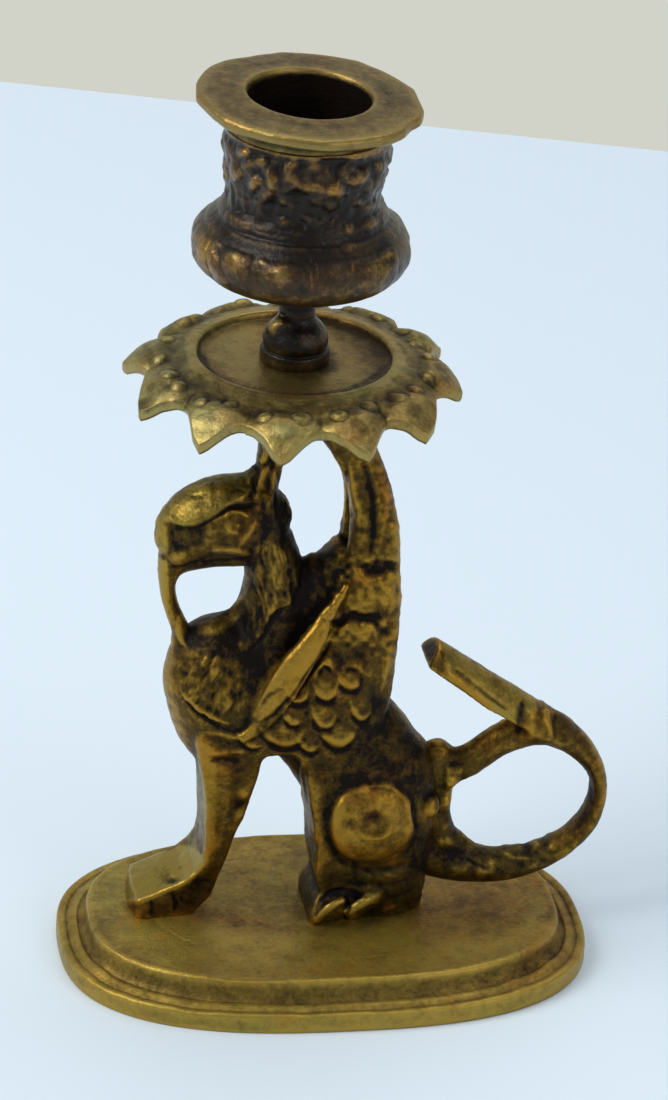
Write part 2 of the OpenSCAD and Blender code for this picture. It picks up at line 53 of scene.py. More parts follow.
def noise(points, size, seed):
    """Smooth value noise from -1 to 1 at points (n, 3); size is one length or three."""
    p = points / np.asarray(size, float) + np.array([0.13, 0.71, 0.37]) * (seed * 7.3 + 1)
    cell = np.floor(p).astype(np.int64)
    f = p - cell
    f = f * f * (3 - 2 * f)
    total = np.zeros(len(p))
    for dx in (0, 1):
        for dy in (0, 1):
            for dz in (0, 1):
                n = ((cell[:, 0] + dx) * 73856093) ^ ((cell[:, 1] + dy) * 19349663) \
                    ^ ((cell[:, 2] + dz) * 83492791) ^ (seed * 2654435)
                n = (n ^ (n >> 13)) * 1274126177 & 0xFFFFFFFF
                n = (n ^ (n >> 16)) * 2246822519 & 0xFFFFFFFF
                value = ((n >> 9) & 0xFFFF) / 32768.0 - 1
                w = (f[:, 0] if dx else 1 - f[:, 0]) * (f[:, 1] if dy else 1 - f[:, 1])
                total += value * w * (f[:, 2] if dz else 1 - f[:, 2])
    return total


def flat_noise(x, z, size, seed):
    """The same noise over two coordinate arrays of one shape."""
    p = np.stack([x.ravel(), z.ravel(), np.zeros(x.size)], 1)
    return noise(p, (size[0], size[1], 1.0), seed).reshape(x.shape)


def smooth(t):
    t = np.clip(t, 0, 1)
    return t * t * (3 - 2 * t)


def union(a, b, k):
    h = np.clip(0.5 + 0.5 * (b - a) / k, 0, 1)
    return b + (a - b) * h - k * h * (1 - h)


def curve(stations, steps):
    """A Catmull-Rom curve through stations of any number of values."""
    s = np.array(stations, float)
    out = []
    for i in range(len(s) - 1):
        a, b, c, d = s[max(i - 1, 0)], s[i], s[i + 1], s[min(i + 2, len(s) - 1)]
        for k in range(steps):
            t = k / steps
            out.append((2 * b + (c - a) * t + (2 * a - 5 * b + 4 * c - d) * t * t
                        + (3 * b - a - 3 * c + d) * t ** 3) / 2)
    out.append(s[-1])
    return np.array(out)


def unit(v):
    return v / np.linalg.norm(v)


# ---------------------------------------------------------------- clay: a distance field

class Clay:
    """A block of distance values that forms are added to and cut from."""

    def __init__(self, low, high, step):
        self.low, self.step = np.array(low, float), step
        self.size = np.ceil((np.array(high) - self.low) / step).astype(int) + 1
        self.field = np.full(self.size, 4.0, np.float32)
        self.axes = [(self.low[i] + step * np.arange(self.size[i])).astype(np.float32) for i in range(3)]

    def window(self, low, high):
        a = np.clip(np.floor((np.array(low) - self.low) / self.step).astype(int), 0, self.size)
        b = np.clip(np.ceil((np.array(high) - self.low) / self.step).astype(int) + 1, 0, self.size)
        cut = tuple(slice(p, q) for p, q in zip(a, b))
        return cut, np.meshgrid(*[self.axes[i][cut[i]] for i in range(3)], indexing="ij", sparse=True)

    def limb(self, stations, blend=1.4, steps=3):
        """A limb through stations [x, y, z, half thickness, half width]."""
        line = curve(stations, steps)
        reach = line[:, 3:].max() + 4
        outer, _ = self.window(line[:, :3].min(0) - reach, line[:, :3].max(0) + reach)
        near = np.full(self.field[outer].shape, 4.0, np.float32)
        origin = [s.start for s in outer]
        for i in range(len(line) - 1):
            p, q = line[i], line[i + 1]
            along = unit(q[:3] - p[:3])
            across = unit(np.cross([0, 1, 0], along))
            wide = unit(np.cross(along, across))
            reach = max(p[3], q[3], p[4], q[4]) + 4
            cut, (x, y, z) = self.window(np.minimum(p[:3], q[:3]) - reach, np.maximum(p[:3], q[:3]) + reach)
            length = np.linalg.norm(q[:3] - p[:3])
            x, y, z = x - p[0], y - p[1], z - p[2]
            s = x * along[0] + y * along[1] + z * along[2]
            t = np.clip(s / length, 0, 1)
            u = x * across[0] + y * across[1] + z * across[2]
            v = x * wide[0] + y * wide[1] + z * wide[2]
            w = s - t * length
            a, b = p[3] + (q[3] - p[3]) * t, p[4] + (q[4] - p[4]) * t
            c = np.minimum(a, b)
            r = np.sqrt((u / a) ** 2 + (v / b) ** 2 + (w / c) ** 2)
            g = np.sqrt((u / a ** 2) ** 2 + (v / b ** 2) ** 2 + (w / c ** 2) ** 2)
            d = np.where(g > 1e-4, r * (r - 1) / (g + 1e-6), -c)
            local = tuple(slice(k.start - o, k.stop - o) for k, o in zip(cut, origin))
            near[local] = np.minimum(near[local], d)
        self.field[outer] = union(self.field[outer], near, blend)

    def pair(self, stations, blend=1.4, steps=3):
        self.limb(stations, blend, steps)
        self.limb([[s[0], -s[1], *s[2:]] for s in stations], blend, steps)

    def ball(self, at, size, blend=0.8, cut=False):
        at, size = np.array(at, float), np.array(size, float)
        where, (x, y, z) = self.window(at - size - 4, at + size + 4)
        x, y, z = x - at[0], y - at[1], z - at[2]
        r = np.sqrt((x / size[0]) ** 2 + (y / size[1]) ** 2 + (z / size[2]) ** 2)
        g = np.sqrt((x / size[0] ** 2) ** 2 + (y / size[1] ** 2) ** 2 + (z / size[2] ** 2) ** 2)
        d = np.where(g > 1e-4, r * (r - 1) / (g + 1e-6), -size.min())
        if cut:
            self.field[where] = -union(-self.field[where], d, blend)
        else:
            self.field[where] = union(self.field[where], d, blend)

    def balls(self, at, size, blend=0.8, cut=False):
        for side in (-1, 1):
            self.ball([at[0], side * abs(at[1]), at[2]], size, blend, cut)

    def slab(self, outline, near, far, edge=2.2, blend=0.8, bulge=0.0):
        """A flat-sided body: an outline in the side view between two flanks, rounded where they meet.

        near and far hold rows of height, y at the outline's front and y at its rear."""
        o = np.array(outline, float)
        where, (x, y, z) = self.window([o[:, 0].min() - 4, -20, o[:, 1].min() - 4], [o[:, 0].max() + 4, 20, o[:, 1].max() + 4])
        flat = outside(x[:, 0, :], z[:, 0, :], outline)
        t = np.clip((x[:, 0, :] - o[:, 0].min()) / np.ptp(o[:, 0]), 0, 1)
        sides = []
        for rows in (near, far):
            rows = np.array(rows, float)
            a, b = (np.interp(z[0, 0, :], rows[:, 0], rows[:, k])[None, :] for k in (1, 2))
            sides.append(a + (b - a) * t)
        low, high = sides[0][:, None, :], sides[1][:, None, :]
        q = (y - (low + high) / 2) / np.maximum((high - low) / 2, 1)
        d = flat[:, None, :] - bulge * np.clip(1 - q ** 2, 0, 1) * smooth(1.2 - 2.4 * t)[:, None, :]
        for f in (low - y, y - high):
            d = -union(-d, -f, edge)
        self.field[where] = union(self.field[where], d.astype(np.float32), blend)

    def keep(self, axis, limit, sign):
        """Cuts flat everything past a limit along one axis."""
        shape = [1, 1, 1]
        shape[axis] = -1
        self.field = np.maximum(self.field, sign * (self.axes[axis].reshape(shape) - limit)).astype(np.float32)

    def mesh(self):
        self.field[[0, -1]] = self.field[:, [0, -1]] = self.field[:, :, [0, -1]] = 1.0
        grid = openvdb.FloatGrid(1.2)
        grid.copyFromArray(np.clip(self.field, -1.2, 1.2).astype(np.float32))
        points, quads = grid.convertToQuads(isovalue=0.0)
        return points.astype(float) * self.step + self.low, quads.astype(np.int32)


# ---------------------------------------------------------------- the photo's frame

# Eye, focal length in pixels and axes of the camera, in the plinth's frame, for a frame of 668 x 1100.
EYE, FOCAL = np.array([-143.482, -723.630, 467.486]), 4495.92
RIGHT, UP, AHEAD = (np.array(v) for v in ((0.98512, -0.16209, 0.05708), (0.02488, 0.46321, 0.88590), (0.17004, 0.87130, -0.46035)))


def seen(points):
    """Where points (n, 3) appear in the photo's frame, in pixels."""
    d = points - EYE
    depth = d @ AHEAD
    return 334 + FOCAL * (d @ RIGHT) / depth, 550 - FOCAL * (d @ UP) / depth


def outside(x, z, polygon):
    """Signed distance of places (x, z) from a polygon, negative inside it."""
    points = np.array(list(polygon) + [polygon[0]], float)
    best = np.full(np.broadcast(x, z).shape, 999.0)
    inside = np.zeros(best.shape, bool)
    for (ax, az), (bx, bz) in zip(points, points[1:]):
        t = np.clip(((x - ax) * (bx - ax) + (z - az) * (bz - az)) / max((bx - ax) ** 2 + (bz - az) ** 2, 1e-9), 0, 1)
        best = np.minimum(best, np.hypot(x - ax - t * (bx - ax), z - az - t * (bz - az)))
        if az != bz:
            inside ^= ((az > z) != (bz > z)) & (x < (bx - ax) * (z - az) / (bz - az) + ax)
    return np.where(inside, -best, best)


class Art:
    """A drawing over the photo's frame, in its pixels: heights in mm, tone and tint; layers for hair and fur are made
    but stay empty.
    """

    def __init__(self, low, high, fine=2):
        self.low, self.fine = low, fine
        self.u = low[0] + np.arange((high[0] - low[0]) * fine + 1) / fine
        self.v = low[1] + np.arange((high[1] - low[1]) * fine + 1) / fine
        self.layers = {name: np.zeros((len(self.u), len(self.v))) for name in ("height", "tone", "tint", "hair", "fur")}

    def part(self, points, reach):
        points = np.array(points, float)
        a, b = points.min(0) - reach, points.max(0) + reach
        cut = (slice(*np.searchsorted(self.u, (a[0], b[0]))), slice(*np.searchsorted(self.v, (a[1], b[1]))))
        return cut, self.u[cut[0]][:, None], self.v[cut[1]][None, :]

    def lay(self, cut, mask, values):
        for name, value in values.items():
            layer = self.layers[name]
            if name == "height":
                layer[cut] += mask * value
            else:
                layer[cut] += mask * (value - layer[cut])

    def patch(self, polygon, soft=3.0, **values):
        """An area with a soft outline. Heights add up, the rest is painted over."""
        cut, u, v = self.part(polygon, soft)
        self.lay(cut, smooth(0.5 - outside(u, v, polygon) / (2 * soft)), values)

    def line(self, points, width, taper=0.25, **values):
        """A stroke that thins out at its ends."""
        line = curve(points, 5) if len(points) > 2 else np.array(points, float)
        cut, u, v = self.part(line, 2.5 * width)
        best, along = np.full(np.broadcast(u, v).shape, 999.0), np.zeros(np.broadcast(u, v).shape)
        parts = np.linalg.norm(np.diff(line, axis=0), axis=1)
        total, so_far = parts.sum(), 0.0
        for a, b, length in zip(line, line[1:], parts):
            t = np.clip(((u - a[0]) * (b[0] - a[0]) + (v - a[1]) * (b[1] - a[1])) / max(length, 1e-6) ** 2, 0, 1)
            d = np.hypot(u - a[0] - t * (b[0] - a[0]), v - a[1] - t * (b[1] - a[1]))
            nearer = d < best
            best, along = np.where(nearer, d, best), np.where(nearer, (so_far + t * length) / total, along)
            so_far += length
        ends = smooth(np.minimum(along, 1 - along) / taper) if taper else 1.0
        self.lay(cut, np.exp(-(best / (width * (0.35 + 0.65 * ends))) ** 2) * (0.25 + 0.75 * ends), values)

    def spot(self, at, size, lean=0.0, power=2.0, **values):
        """A rounded bump or pit."""
        c, s = math.cos(math.radians(lean)), math.sin(math.radians(lean))
        cut, u, v = self.part([at], 1.6 * max(size))
        u, v = u - at[0], v - at[1]
        r = ((u * c + v * s) / size[0]) ** 2 + ((v * c - u * s) / size[1]) ** 2
        self.lay(cut, np.exp(-r ** (power / 2)), values)

    def strands(self, polygon, angle, pitch, length, height, tone):
        """Strands that run at an angle, in the drawing, over an area."""
        cut, u, v = self.part(polygon, 6)
        mask = smooth(0.5 - outside(u, v, polygon) / 10)
        c, s = math.cos(math.radians(angle)), -math.sin(math.radians(angle))
        bend = flat_noise(u + 0 * v, v + 0 * u, (26, 26), 5) * pitch * 1.2
        along, across = u * c + v * s, v * c - u * s + bend
        value = flat_noise(across, along, (pitch, length), 11) + 0.6 * flat_noise(across, along, (pitch * 0.55, length * 0.6), 12)
        self.layers["height"][cut] += mask * height * value
        self.layers["tone"][cut] += mask * tone * value

    def rough(self, polygon, size, height, tone):
        """Lumps of a size over an area."""
        cut, u, v = self.part(polygon, 6)
        mask = smooth(0.5 - outside(u, v, polygon) / 10)
        value = flat_noise(u + 0 * v, v + 0 * u, (size, size), int(size * 10))
        self.layers["height"][cut] += mask * height * value
        self.layers["tone"][cut] += mask * tone * value

    def look(self, name, u, v):
        layer = self.layers[name]
        a = np.clip((u - self.low[0]) * self.fine, 0, layer.shape[0] - 1.001)
        b = np.clip((v - self.low[1]) * self.fine, 0, layer.shape[1] - 1.001)
        i, j = a.astype(int), b.astype(int)
        a, b = a - i, b - j
        return (layer[i, j] * (1 - a) + layer[i + 1, j] * a) * (1 - b) + (layer[i, j + 1] * (1 - a) + layer[i + 1, j + 1] * a) * b

    def read(self, names, points, normals, mirror, stray=1.0):
        """Layers at points as the viewer sees them; what faces away takes the mirror image."""
        drift = np.stack([1.6 * noise(points, 4.0, 61 + 2 * k) + 0.8 * noise(points, 1.5, 62 + 2 * k) for k in (0, 1)], 1) * stray
        out, left = {name: np.zeros(len(points)) for name in names}, np.ones(len(points))
        for p, n in ((points, normals), mirror(points, normals)):
            away = EYE - p
            facing = (n * away).sum(1) / np.linalg.norm(away, axis=1)
            share = left * smooth((facing + 0.04) / 0.24)
            left = left - share
            u, v = seen(p)
            for name in names:
                out[name] += share * self.look(name, u + drift[:, 0], v + drift[:, 1])
        return out


def other_flank(points, normals):
    turn = np.array([1, -1, 1])
    return points * turn, normals * turn


def other_side(points, normals):
    """The mirror image across the upright plane through the candle's axis that faces the viewer."""
    n = unit(np.array([EYE[0] - AXIS, EYE[1], 0]))
    at = np.array([AXIS, 0, 0])
    return points - 2 * ((points - at) @ n)[:, None] * n, normals - 2 * (normals @ n)[:, None] * n


# ---------------------------------------------------------------- meshes

def piece(name, points, faces, nodes, material, body="stick", rough=0.0, seed=1, tone=None, tint=None, art=None, mirror=None):
    """A mesh piece in the row frame. Attributes hold how deep each point lies in folds, its tone and its tint."""
    corner = points[faces]
    volume = (corner[:, 0] * np.cross(corner[:, 1], corner[:, 2])).sum() + (corner[:, 0] * np.cross(corner[:, 2], corner[:, 3])).sum()
    if volume < 0:
        faces = faces[:, ::-1]
    mesh = bpy.data.meshes.new(name)
    mesh.vertices.add(len(points))
    mesh.loops.add(faces.size)
    mesh.loops.foreach_set("vertex_index", np.ascontiguousarray(faces, np.int32).ravel())
    mesh.polygons.add(len(faces))
    mesh.polygons.foreach_set("loop_start", np.arange(0, faces.size, faces.shape[1], dtype=np.int32))

    def shape(at):
        mesh.vertices.foreach_set("co", (at * 0.001).astype(np.float32).ravel())
        mesh.update(calc_edges=True)
        n = np.empty(len(at) * 3, np.float32)
        mesh.vertex_normals.foreach_get("vector", n)
        return n.reshape(-1, 3)

    if rough:
        away = noise(points, 4.5, seed) * 0.5 + noise(points, 1.9, seed + 1) * 0.32 + noise(points, 0.9, seed + 2) * 0.18
        points = points + shape(points) * (away * rough)[:, None]
    tone = np.zeros(len(points)) if tone is None else tone
    tint = np.zeros(len(points)) if tint is None else tint
    if art:
        n = shape(points)
        drawn = art.read(("height",), points, n, mirror, 0.3)
        coat = art.read(("tone", "tint"), points, n, mirror)
        points = points + n * np.clip(drawn["height"], -1.3, 1.3)[:, None]
        tone, tint = tone + coat["tone"], tint + coat["tint"]
    points = points + np.array([SHIFT, 0, 0])
    n = shape(points)
    # Neighbours of each point, in order, so that a mean over them is one pass.
    wide = faces.astype(np.int64)
    a, b = wide.ravel(), np.roll(wide, -1, axis=1).ravel()
    pairs = np.unique(np.concatenate([a * len(points) + b, b * len(points) + a]))
    a, b = pairs // len(points), pairs % len(points)
    starts = np.concatenate([[0], np.flatnonzero(np.diff(a)) + 1])
    share = 1 / np.diff(np.concatenate([starts, [len(a)]]))[:, None]
    used = a[starts]
    gap = np.linalg.norm(points[faces[:, 0]] - points[faces[:, 1]], axis=1).mean()
    moved, done = points.copy(), 0
    for label, reach, one in (("fine", 0.7, 0.07), ("broad", 2.6, 0.5)):
        rounds = int(min(4 * (reach / gap) ** 2, 150))
        for _ in range(rounds - done):
            moved[used] = 0.5 * moved[used] + 0.5 * share * np.add.reduceat(moved[b], starts, axis=0)
        done = max(rounds, done)
        value = np.clip(((moved - points) * n).sum(1) / one, -3, 3)
        mesh.attributes.new(label, "FLOAT", "POINT").data.foreach_set("value", value.astype(np.float32))
    for label, value in (("tone", tone), ("tint", tint)):
        mesh.attributes.new(label, "FLOAT", "POINT").data.foreach_set("value", value.astype(np.float32))
    mesh.shade_smooth()
    obj = bpy.data.objects.new(name, mesh)
    bpy.context.scene.collection.objects.link(obj)
    obj.data.materials.append(material)
    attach(obj, body)
    if nodes:
        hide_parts(*nodes)
    return obj


def spun(rings, at=(AXIS, 0), closed_ends=True):
    """Points and faces of rings (r, count) of radii, heights and angles, joined in order."""
    radii, heights, angles = rings
    rows, count = radii.shape
    points = np.stack([at[0] + radii * np.cos(angles), at[1] + radii * np.sin(angles), heights], -1).reshape(-1, 3)
    i, j = np.meshgrid(np.arange(rows - 1), np.arange(count), indexing="ij")
    k = (j + 1) % count
    faces = np.stack([i * count + j, i * count + k, (i + 1) * count + k, (i + 1) * count + j], -1).reshape(-1, 4)
    return points, faces


# ---------------------------------------------------------------- materials

def brass(name, worn, mid, dark, bias=0.0, contrast=1.0, shine=0.34, dull=0.55, grain=0.0, speck=0.4, metal=0.8, gloss=0.1):
    """Aged brass: bright where it is rubbed or where a highlight is painted, olive or brown between, near black in its
    folds or where shade is painted.
    """
    mat = bpy.data.materials.new(name)
    mat.use_nodes = True
    tree = mat.node_tree
    nodes, links = tree.nodes, tree.links
    shader = nodes["Principled BSDF"]
    coords = nodes.new("ShaderNodeTexCoord").outputs["Object"]

    def value(kind, a, b=None, c=None, clamp=False):
        node = nodes.new("ShaderNodeMath")
        node.operation, node.use_clamp = kind, clamp
        for socket, v in zip(node.inputs, (a, b, c)):
            if v is None:
                continue
            if isinstance(v, (int, float)):
                socket.default_value = v
            else:
                links.new(v, socket)
        return node.outputs[0]

    def clouds(size, detail=3.0, rough=0.55, stretch=(1, 1, 1), shift=0.0):
        """Noise about 0, with features of a size in metres."""
        mapping = nodes.new("ShaderNodeMapping")
        mapping.inputs["Location"].default_value = (shift, shift * 0.7, shift * 1.3)
        mapping.inputs["Scale"].default_value = stretch
        links.new(coords, mapping.inputs["Vector"])
        node = nodes.new("ShaderNodeTexNoise")
        node.inputs["Scale"].default_value = 1 / size
        node.inputs["Detail"].default_value = detail
        node.inputs["Roughness"].default_value = rough
        links.new(mapping.outputs[0], node.inputs["Vector"])
        return value("SUBTRACT", node.outputs["Fac"], 0.5)

    def mix(factor, a, b, kind="MIX"):
        node = nodes.new("ShaderNodeMix")
        node.data_type, node.blend_type = "RGBA", kind
        for socket, v in ((node.inputs["Factor"], factor), (node.inputs["A"], a), (node.inputs["B"], b)):
            if isinstance(v, (tuple, list)):
                socket.default_value = (*v, 1)
            elif isinstance(v, (int, float)):
                socket.default_value = v
            else:
                links.new(v, socket)
        return node.outputs["Result"]

    def attribute(label):
        node = nodes.new("ShaderNodeAttribute")
        node.attribute_name = label
        return node.outputs["Fac"]

    fine, broad, tint = attribute("fine"), attribute("broad"), attribute("tint")
    patches = clouds(0.011, 4, 0.6, shift=0.31)
    blotches = clouds(0.0032, 4, 0.62, shift=0.77)
    # Wear: high on ridges and edges, low in folds and grooves.
    wear_and_painted_light = value("MULTIPLY", fine, -0.13 * contrast)
    wear_and_painted_light = value("MULTIPLY_ADD", broad, -0.16 * contrast, wear_and_painted_light)
    wear_and_painted_light = value("MULTIPLY_ADD", patches, 0.75, wear_and_painted_light)
    wear_and_painted_light = value("MULTIPLY_ADD", blotches, 0.95, wear_and_painted_light)
    wear_and_painted_light = value("MULTIPLY_ADD", clouds(0.0010, 5, 0.7, shift=2.3), 1.0, wear_and_painted_light)
    # The drawn tone adds in here; besides patina and wear it carries painted highlights and painted shade.
    wear_and_painted_light = value("MULTIPLY_ADD", attribute("tone"), 0.92, wear_and_painted_light)
    wear_and_painted_light = value("ADD", wear_and_painted_light, 0.5 + bias, clamp=True)
    ramp = nodes.new("ShaderNodeValToRGB")
    ramp.color_ramp.interpolation = "LINEAR"
    stops = ramp.color_ramp.elements
    stops[0].position, stops[0].color = 0.03, (*dark, 1)
    stops[1].position, stops[1].color = 1.0, (*worn, 1)
    middle = stops.new(0.5)
    middle.color = (*mid, 1)
    links.new(wear_and_painted_light, ramp.inputs["Fac"])
    # Olive skin where the tint is low, coppery where it is high.
    colour = mix(value("MULTIPLY", tint, -1.0, clamp=True), ramp.outputs["Color"], (0.92, 1.22, 1.85), "MULTIPLY")
    colour = mix(value("MULTIPLY", tint, 1.0, clamp=True), colour, (1.12, 0.78, 0.72), "MULTIPLY")
    # Drifts of greenish and of coppery brown tarnish.
    green = value("MULTIPLY", value("ADD", clouds(0.016, 3, 0.5, shift=1.9), 0.06, clamp=True), 2.6, clamp=True)
    colour = mix(green, colour, (0.86, 1.0, 0.95), "MULTIPLY")
    copper = value("MULTIPLY", value("SUBTRACT", clouds(0.0065, 4, 0.6, shift=3.1), 0.06, clamp=True), 4.0, clamp=True)
    colour = mix(copper, colour, (1.15, 0.82, 0.72), "MULTIPLY")
    # Small dark specks of grime.
    specks = value("MULTIPLY", value("SUBTRACT", clouds(0.0011, 3, 0.7, shift=5.3), 0.12, clamp=True), 6 * speck, clamp=True)
    colour = mix(specks, colour, tuple(c * 0.8 for c in dark))
    links.new(colour, shader.inputs["Base Color"])

    rough = value("MULTIPLY_ADD", wear_and_painted_light, shine - dull, dull)
    rough = value("MULTIPLY_ADD", clouds(0.0016, 4, 0.7, shift=7.7), 0.22, rough)
    links.new(value("ADD", rough, 0.0, clamp=True), shader.inputs["Roughness"])
    links.new(value("MULTIPLY_ADD", wear_and_painted_light, 0.16, metal, clamp=True), shader.inputs["Metallic"])
    links.new(value("MULTIPLY_ADD", wear_and_painted_light, 0.2, gloss, clamp=True), shader.inputs["Specular IOR Level"])

    # Cast skin, file marks and scratches.
    skin = value("MULTIPLY", clouds(0.0007, 4, 0.65, shift=11.0), 0.00022)
    skin = value("MULTIPLY_ADD", clouds(0.0024, 3, 0.6, shift=13.0), 0.00024, skin)
    if grain:
        lines = clouds(0.00045, 3, 0.6, stretch=(0.06, 1, 0.8), shift=17.0)
        skin = value("MULTIPLY_ADD", lines, 0.00016 * grain, skin)
    bump = nodes.new("ShaderNodeBump")
    bump.inputs["Strength"].default_value = 0.55
    bump.inputs["Distance"].default_value = 1.0
    links.new(skin, bump.inputs["Height"])
    links.new(bump.outputs["Normal"], shader.inputs["Normal"])
    return mat


plinth_brass = brass("plinth_brass", (0.40, 0.265, 0.045), (0.215, 0.140, 0.026), (0.055, 0.032, 0.012), bias=0.02,
                     contrast=0.9, shine=0.38, dull=0.50, grain=0.8, speck=0.3, metal=0.52)
figure_brass = brass("figure_brass", (0.38, 0.205, 0.026), (0.108, 0.058, 0.010), (0.013, 0.009, 0.007), bias=-0.02,
                     contrast=0.85, shine=0.38, dull=0.52, speck=0.18)
pan_brass = brass("pan_brass", (0.36, 0.265, 0.080), (0.150, 0.106, 0.032), (0.05, 0.034, 0.016), bias=-0.02,
                  contrast=0.8, shine=0.38, dull=0.52, metal=0.76)
dark_brass = brass("dark_brass", (0.30, 0.175, 0.036), (0.060, 0.034, 0.011), (0.012, 0.008, 0.005), bias=-0.12,
                   contrast=0.85, shine=0.30, dull=0.32, speck=0.15, metal=0.5, gloss=0.4)
nozzle_brass = brass("nozzle_brass", (0.30, 0.205, 0.065), (0.145, 0.095, 0.034), (0.02, 0.014, 0.010), bias=0.02,
                     contrast=0.9, shine=0.38, dull=0.52, grain=0.8)
steel = brass("steel", (0.42, 0.41, 0.39), (0.24, 0.23, 0.21), (0.06, 0.055, 0.05), contrast=0, shine=0.3, dull=0.5)
nut_brass = brass("nut_brass", (0.42, 0.29, 0.09), (0.28, 0.185, 0.06), (0.10, 0.065, 0.025), contrast=0, shine=0.3,
                  dull=0.45)


# ---------------------------------------------------------------- griffin

STEP = 0.37
figure = Clay([-41, -14.5, 6.5], [25, 16, 124.5], STEP)
# Trunk, breast and rump, with a flat belly.
figure.limb([[11, 0, 8, 8, 4.8], [10.5, 0, 17, 9.5, 7.6], [9.8, 0, 27, 10.5, 9.2], [6.4, 0, 38, 12.2, 9.6],
             [-2.4, 0, 50, 11.2, 9.4], [-13, 0, 56.4, 10.6, 9.8], [-21, 0, 58, 10.2, 9], [-26.6, 0, 59.5, 6, 6.4]], 0.1)
figure.limb([[-20.5, 0, 46, 7, 7.5], [-21, 0, 51, 9.8, 9], [-21.5, 0, 57.5, 11.2, 9.6],
             [-22.2, 0, 62.6, 10.5, 8.4], [-22.8, 0, 65.2, 8.6, 6.4], [-22.8, 0, 66.4, 4.6, 3.6]], 1.6)
figure.ball([12.8, 0, 37.2], [7.4, 6.6, 7.8], 2.0)
figure.slab([(-17, 45.6), (-18, 55), (-3, 55), (-6, 46)], [(40, -8, -8), (56, -8.6, -8.6)], [(40, 8, 8), (56, 8.6, 8.6)], 1.5, 1.2)
figure.limb([[-15, 0, 58, 9, 8.6], [-13.4, 0, 67, 7.6, 7.6], [-12.6, 0, 75, 6.6, 6.6],
             [-13.8, 0, 84, 5.2, 5.6], [-16.6, 0, 91, 4.6, 5.2], [-18.6, 0, 96, 4.0, 4.6]], 1.6)
# Skull, bill and throat.
figure.limb([[-13.4, 0, 92.6, 1.6, 1.6], [-16.0, 0, 93.0, 5.4, 5.2], [-21, 0, 92.6, 7.8, 7.2], [-26.4, 0, 91.8, 7.2, 6.8],
             [-30.8, 0, 89.8, 5.2, 4.8], [-33.6, 0, 88.2, 2, 2.2]], 1.2)
figure.limb([[-25, 0, 89, 5, 5], [-29.8, 0, 87, 4.4, 4.4], [-32.4, 0, 83.4, 2.6, 3.2],
             [-33.1, 0, 79, 1.5, 2.4], [-32.3, 0, 74.8, 1.4, 2], [-30.6, 0, 70.5, 1.6, 2.1], [-29, 0, 66, 2, 2.2]], 0.9)
figure.limb([[-15, 0, 86.5, 2, 3.5], [-19.5, 0, 86, 3, 4.2], [-25, 0, 85.4, 2.6, 3.4], [-30.5, 0, 83.6, 1.8, 2.2]], 0.8)
figure.limb([[-30.2, 0, 67.2, 1.6, 1.6], [-28.0, 0, 66.8, 2.0, 2.0], [-25.7, 0, 66.8, 2.0, 2.0], [-21.6, 0, 69.8, 2.0, 2.2],
             [-18.6, 0, 72.2, 2.2, 2.4], [-16.1, 0, 76.6, 2.2, 2.4], [-15.6, 0, 80, 2.0, 2.4]], 1.0)
figure.balls([-22.6, 6.0, 94.2], [3.0, 1.3, 2.2], 0.8)
figure.pair([[-14.4, 4.6, 86, 1.2, 1.0], [-15.2, 5.0, 91, 1.5, 1.2], [-16.0, 4.8, 95.5, 1.3, 1.1], [-17.2, 4.2, 98.5, 1, 1]], 0.9)
# Crest, spreading under the pan.
figure.limb([[-19, 0, 94, 4.2, 4.4], [-16.4, 0, 99.5, 3.1, 3.4], [-15.2, 0, 104, 2.4, 2.8],
             [-15.1, 0, 109, 2.6, 3.6], [-14.8, 0, 114.5, 4, 5.2], [-13.4, 0, 119.5, 6.4, 6.4]], 1.4)
# Wings, mantle and the bright leading edges.
figure.pair([[-5, 5.4, 50, 8, 3.4], [-2.5, 6, 56, 11, 4], [0.8, 5.8, 65, 9.2, 4], [3.6, 5, 75, 6.3, 3.7],
             [4.3, 4.2, 85, 5.1, 3.4], [4.1, 3.6, 94, 4.2, 3.2], [2.6, 3.2, 101, 3.7, 3.1], [-0.6, 3, 108, 3.9, 3],
             [-4.8, 2.8, 114.5, 4.4, 3], [-9, 2.2, 119.6, 4.4, 3]], 1.0)
figure.limb([[-8, 0, 58, 9, 8.4], [-7.4, 0, 67, 6.6, 6.6], [-6.6, 0, 75, 4.4, 5], [-6.2, 0, 80.4, 2.6, 3.6],
             [-6.2, 0, 83.4, 1, 1.6]], 1.2)
figure.limb([[-8, 0, 76, 4.5, 5.5], [-4, 0, 79, 4.5, 5.5], [0, 0, 82, 4, 5]], 2.0)
figure.limb([[-7.4, 0, 80, 1.2, 3], [-4.2, 0, 81.8, 1.4, 4.4], [-1.6, 0, 85.4, 1.4, 4]], 1.4)
figure.pair([[-26, -7.4, 53.2, 0.5, 0.6], [-22, -8.6, 51.2, 0.8, 0.8], [-18, -9.3, 52.0, 1.0, 0.9], [-15.2, -9.7, 56, 2.5, 1.4],
             [-12, -10, 62.3, 3.0, 1.6], [-8, -9.7, 69.3, 2.5, 1.5], [-4.2, -8.5, 76.4, 1.3, 1.1], [-1.0, -6.8, 81.0, 0.5, 0.6]], 0.6)
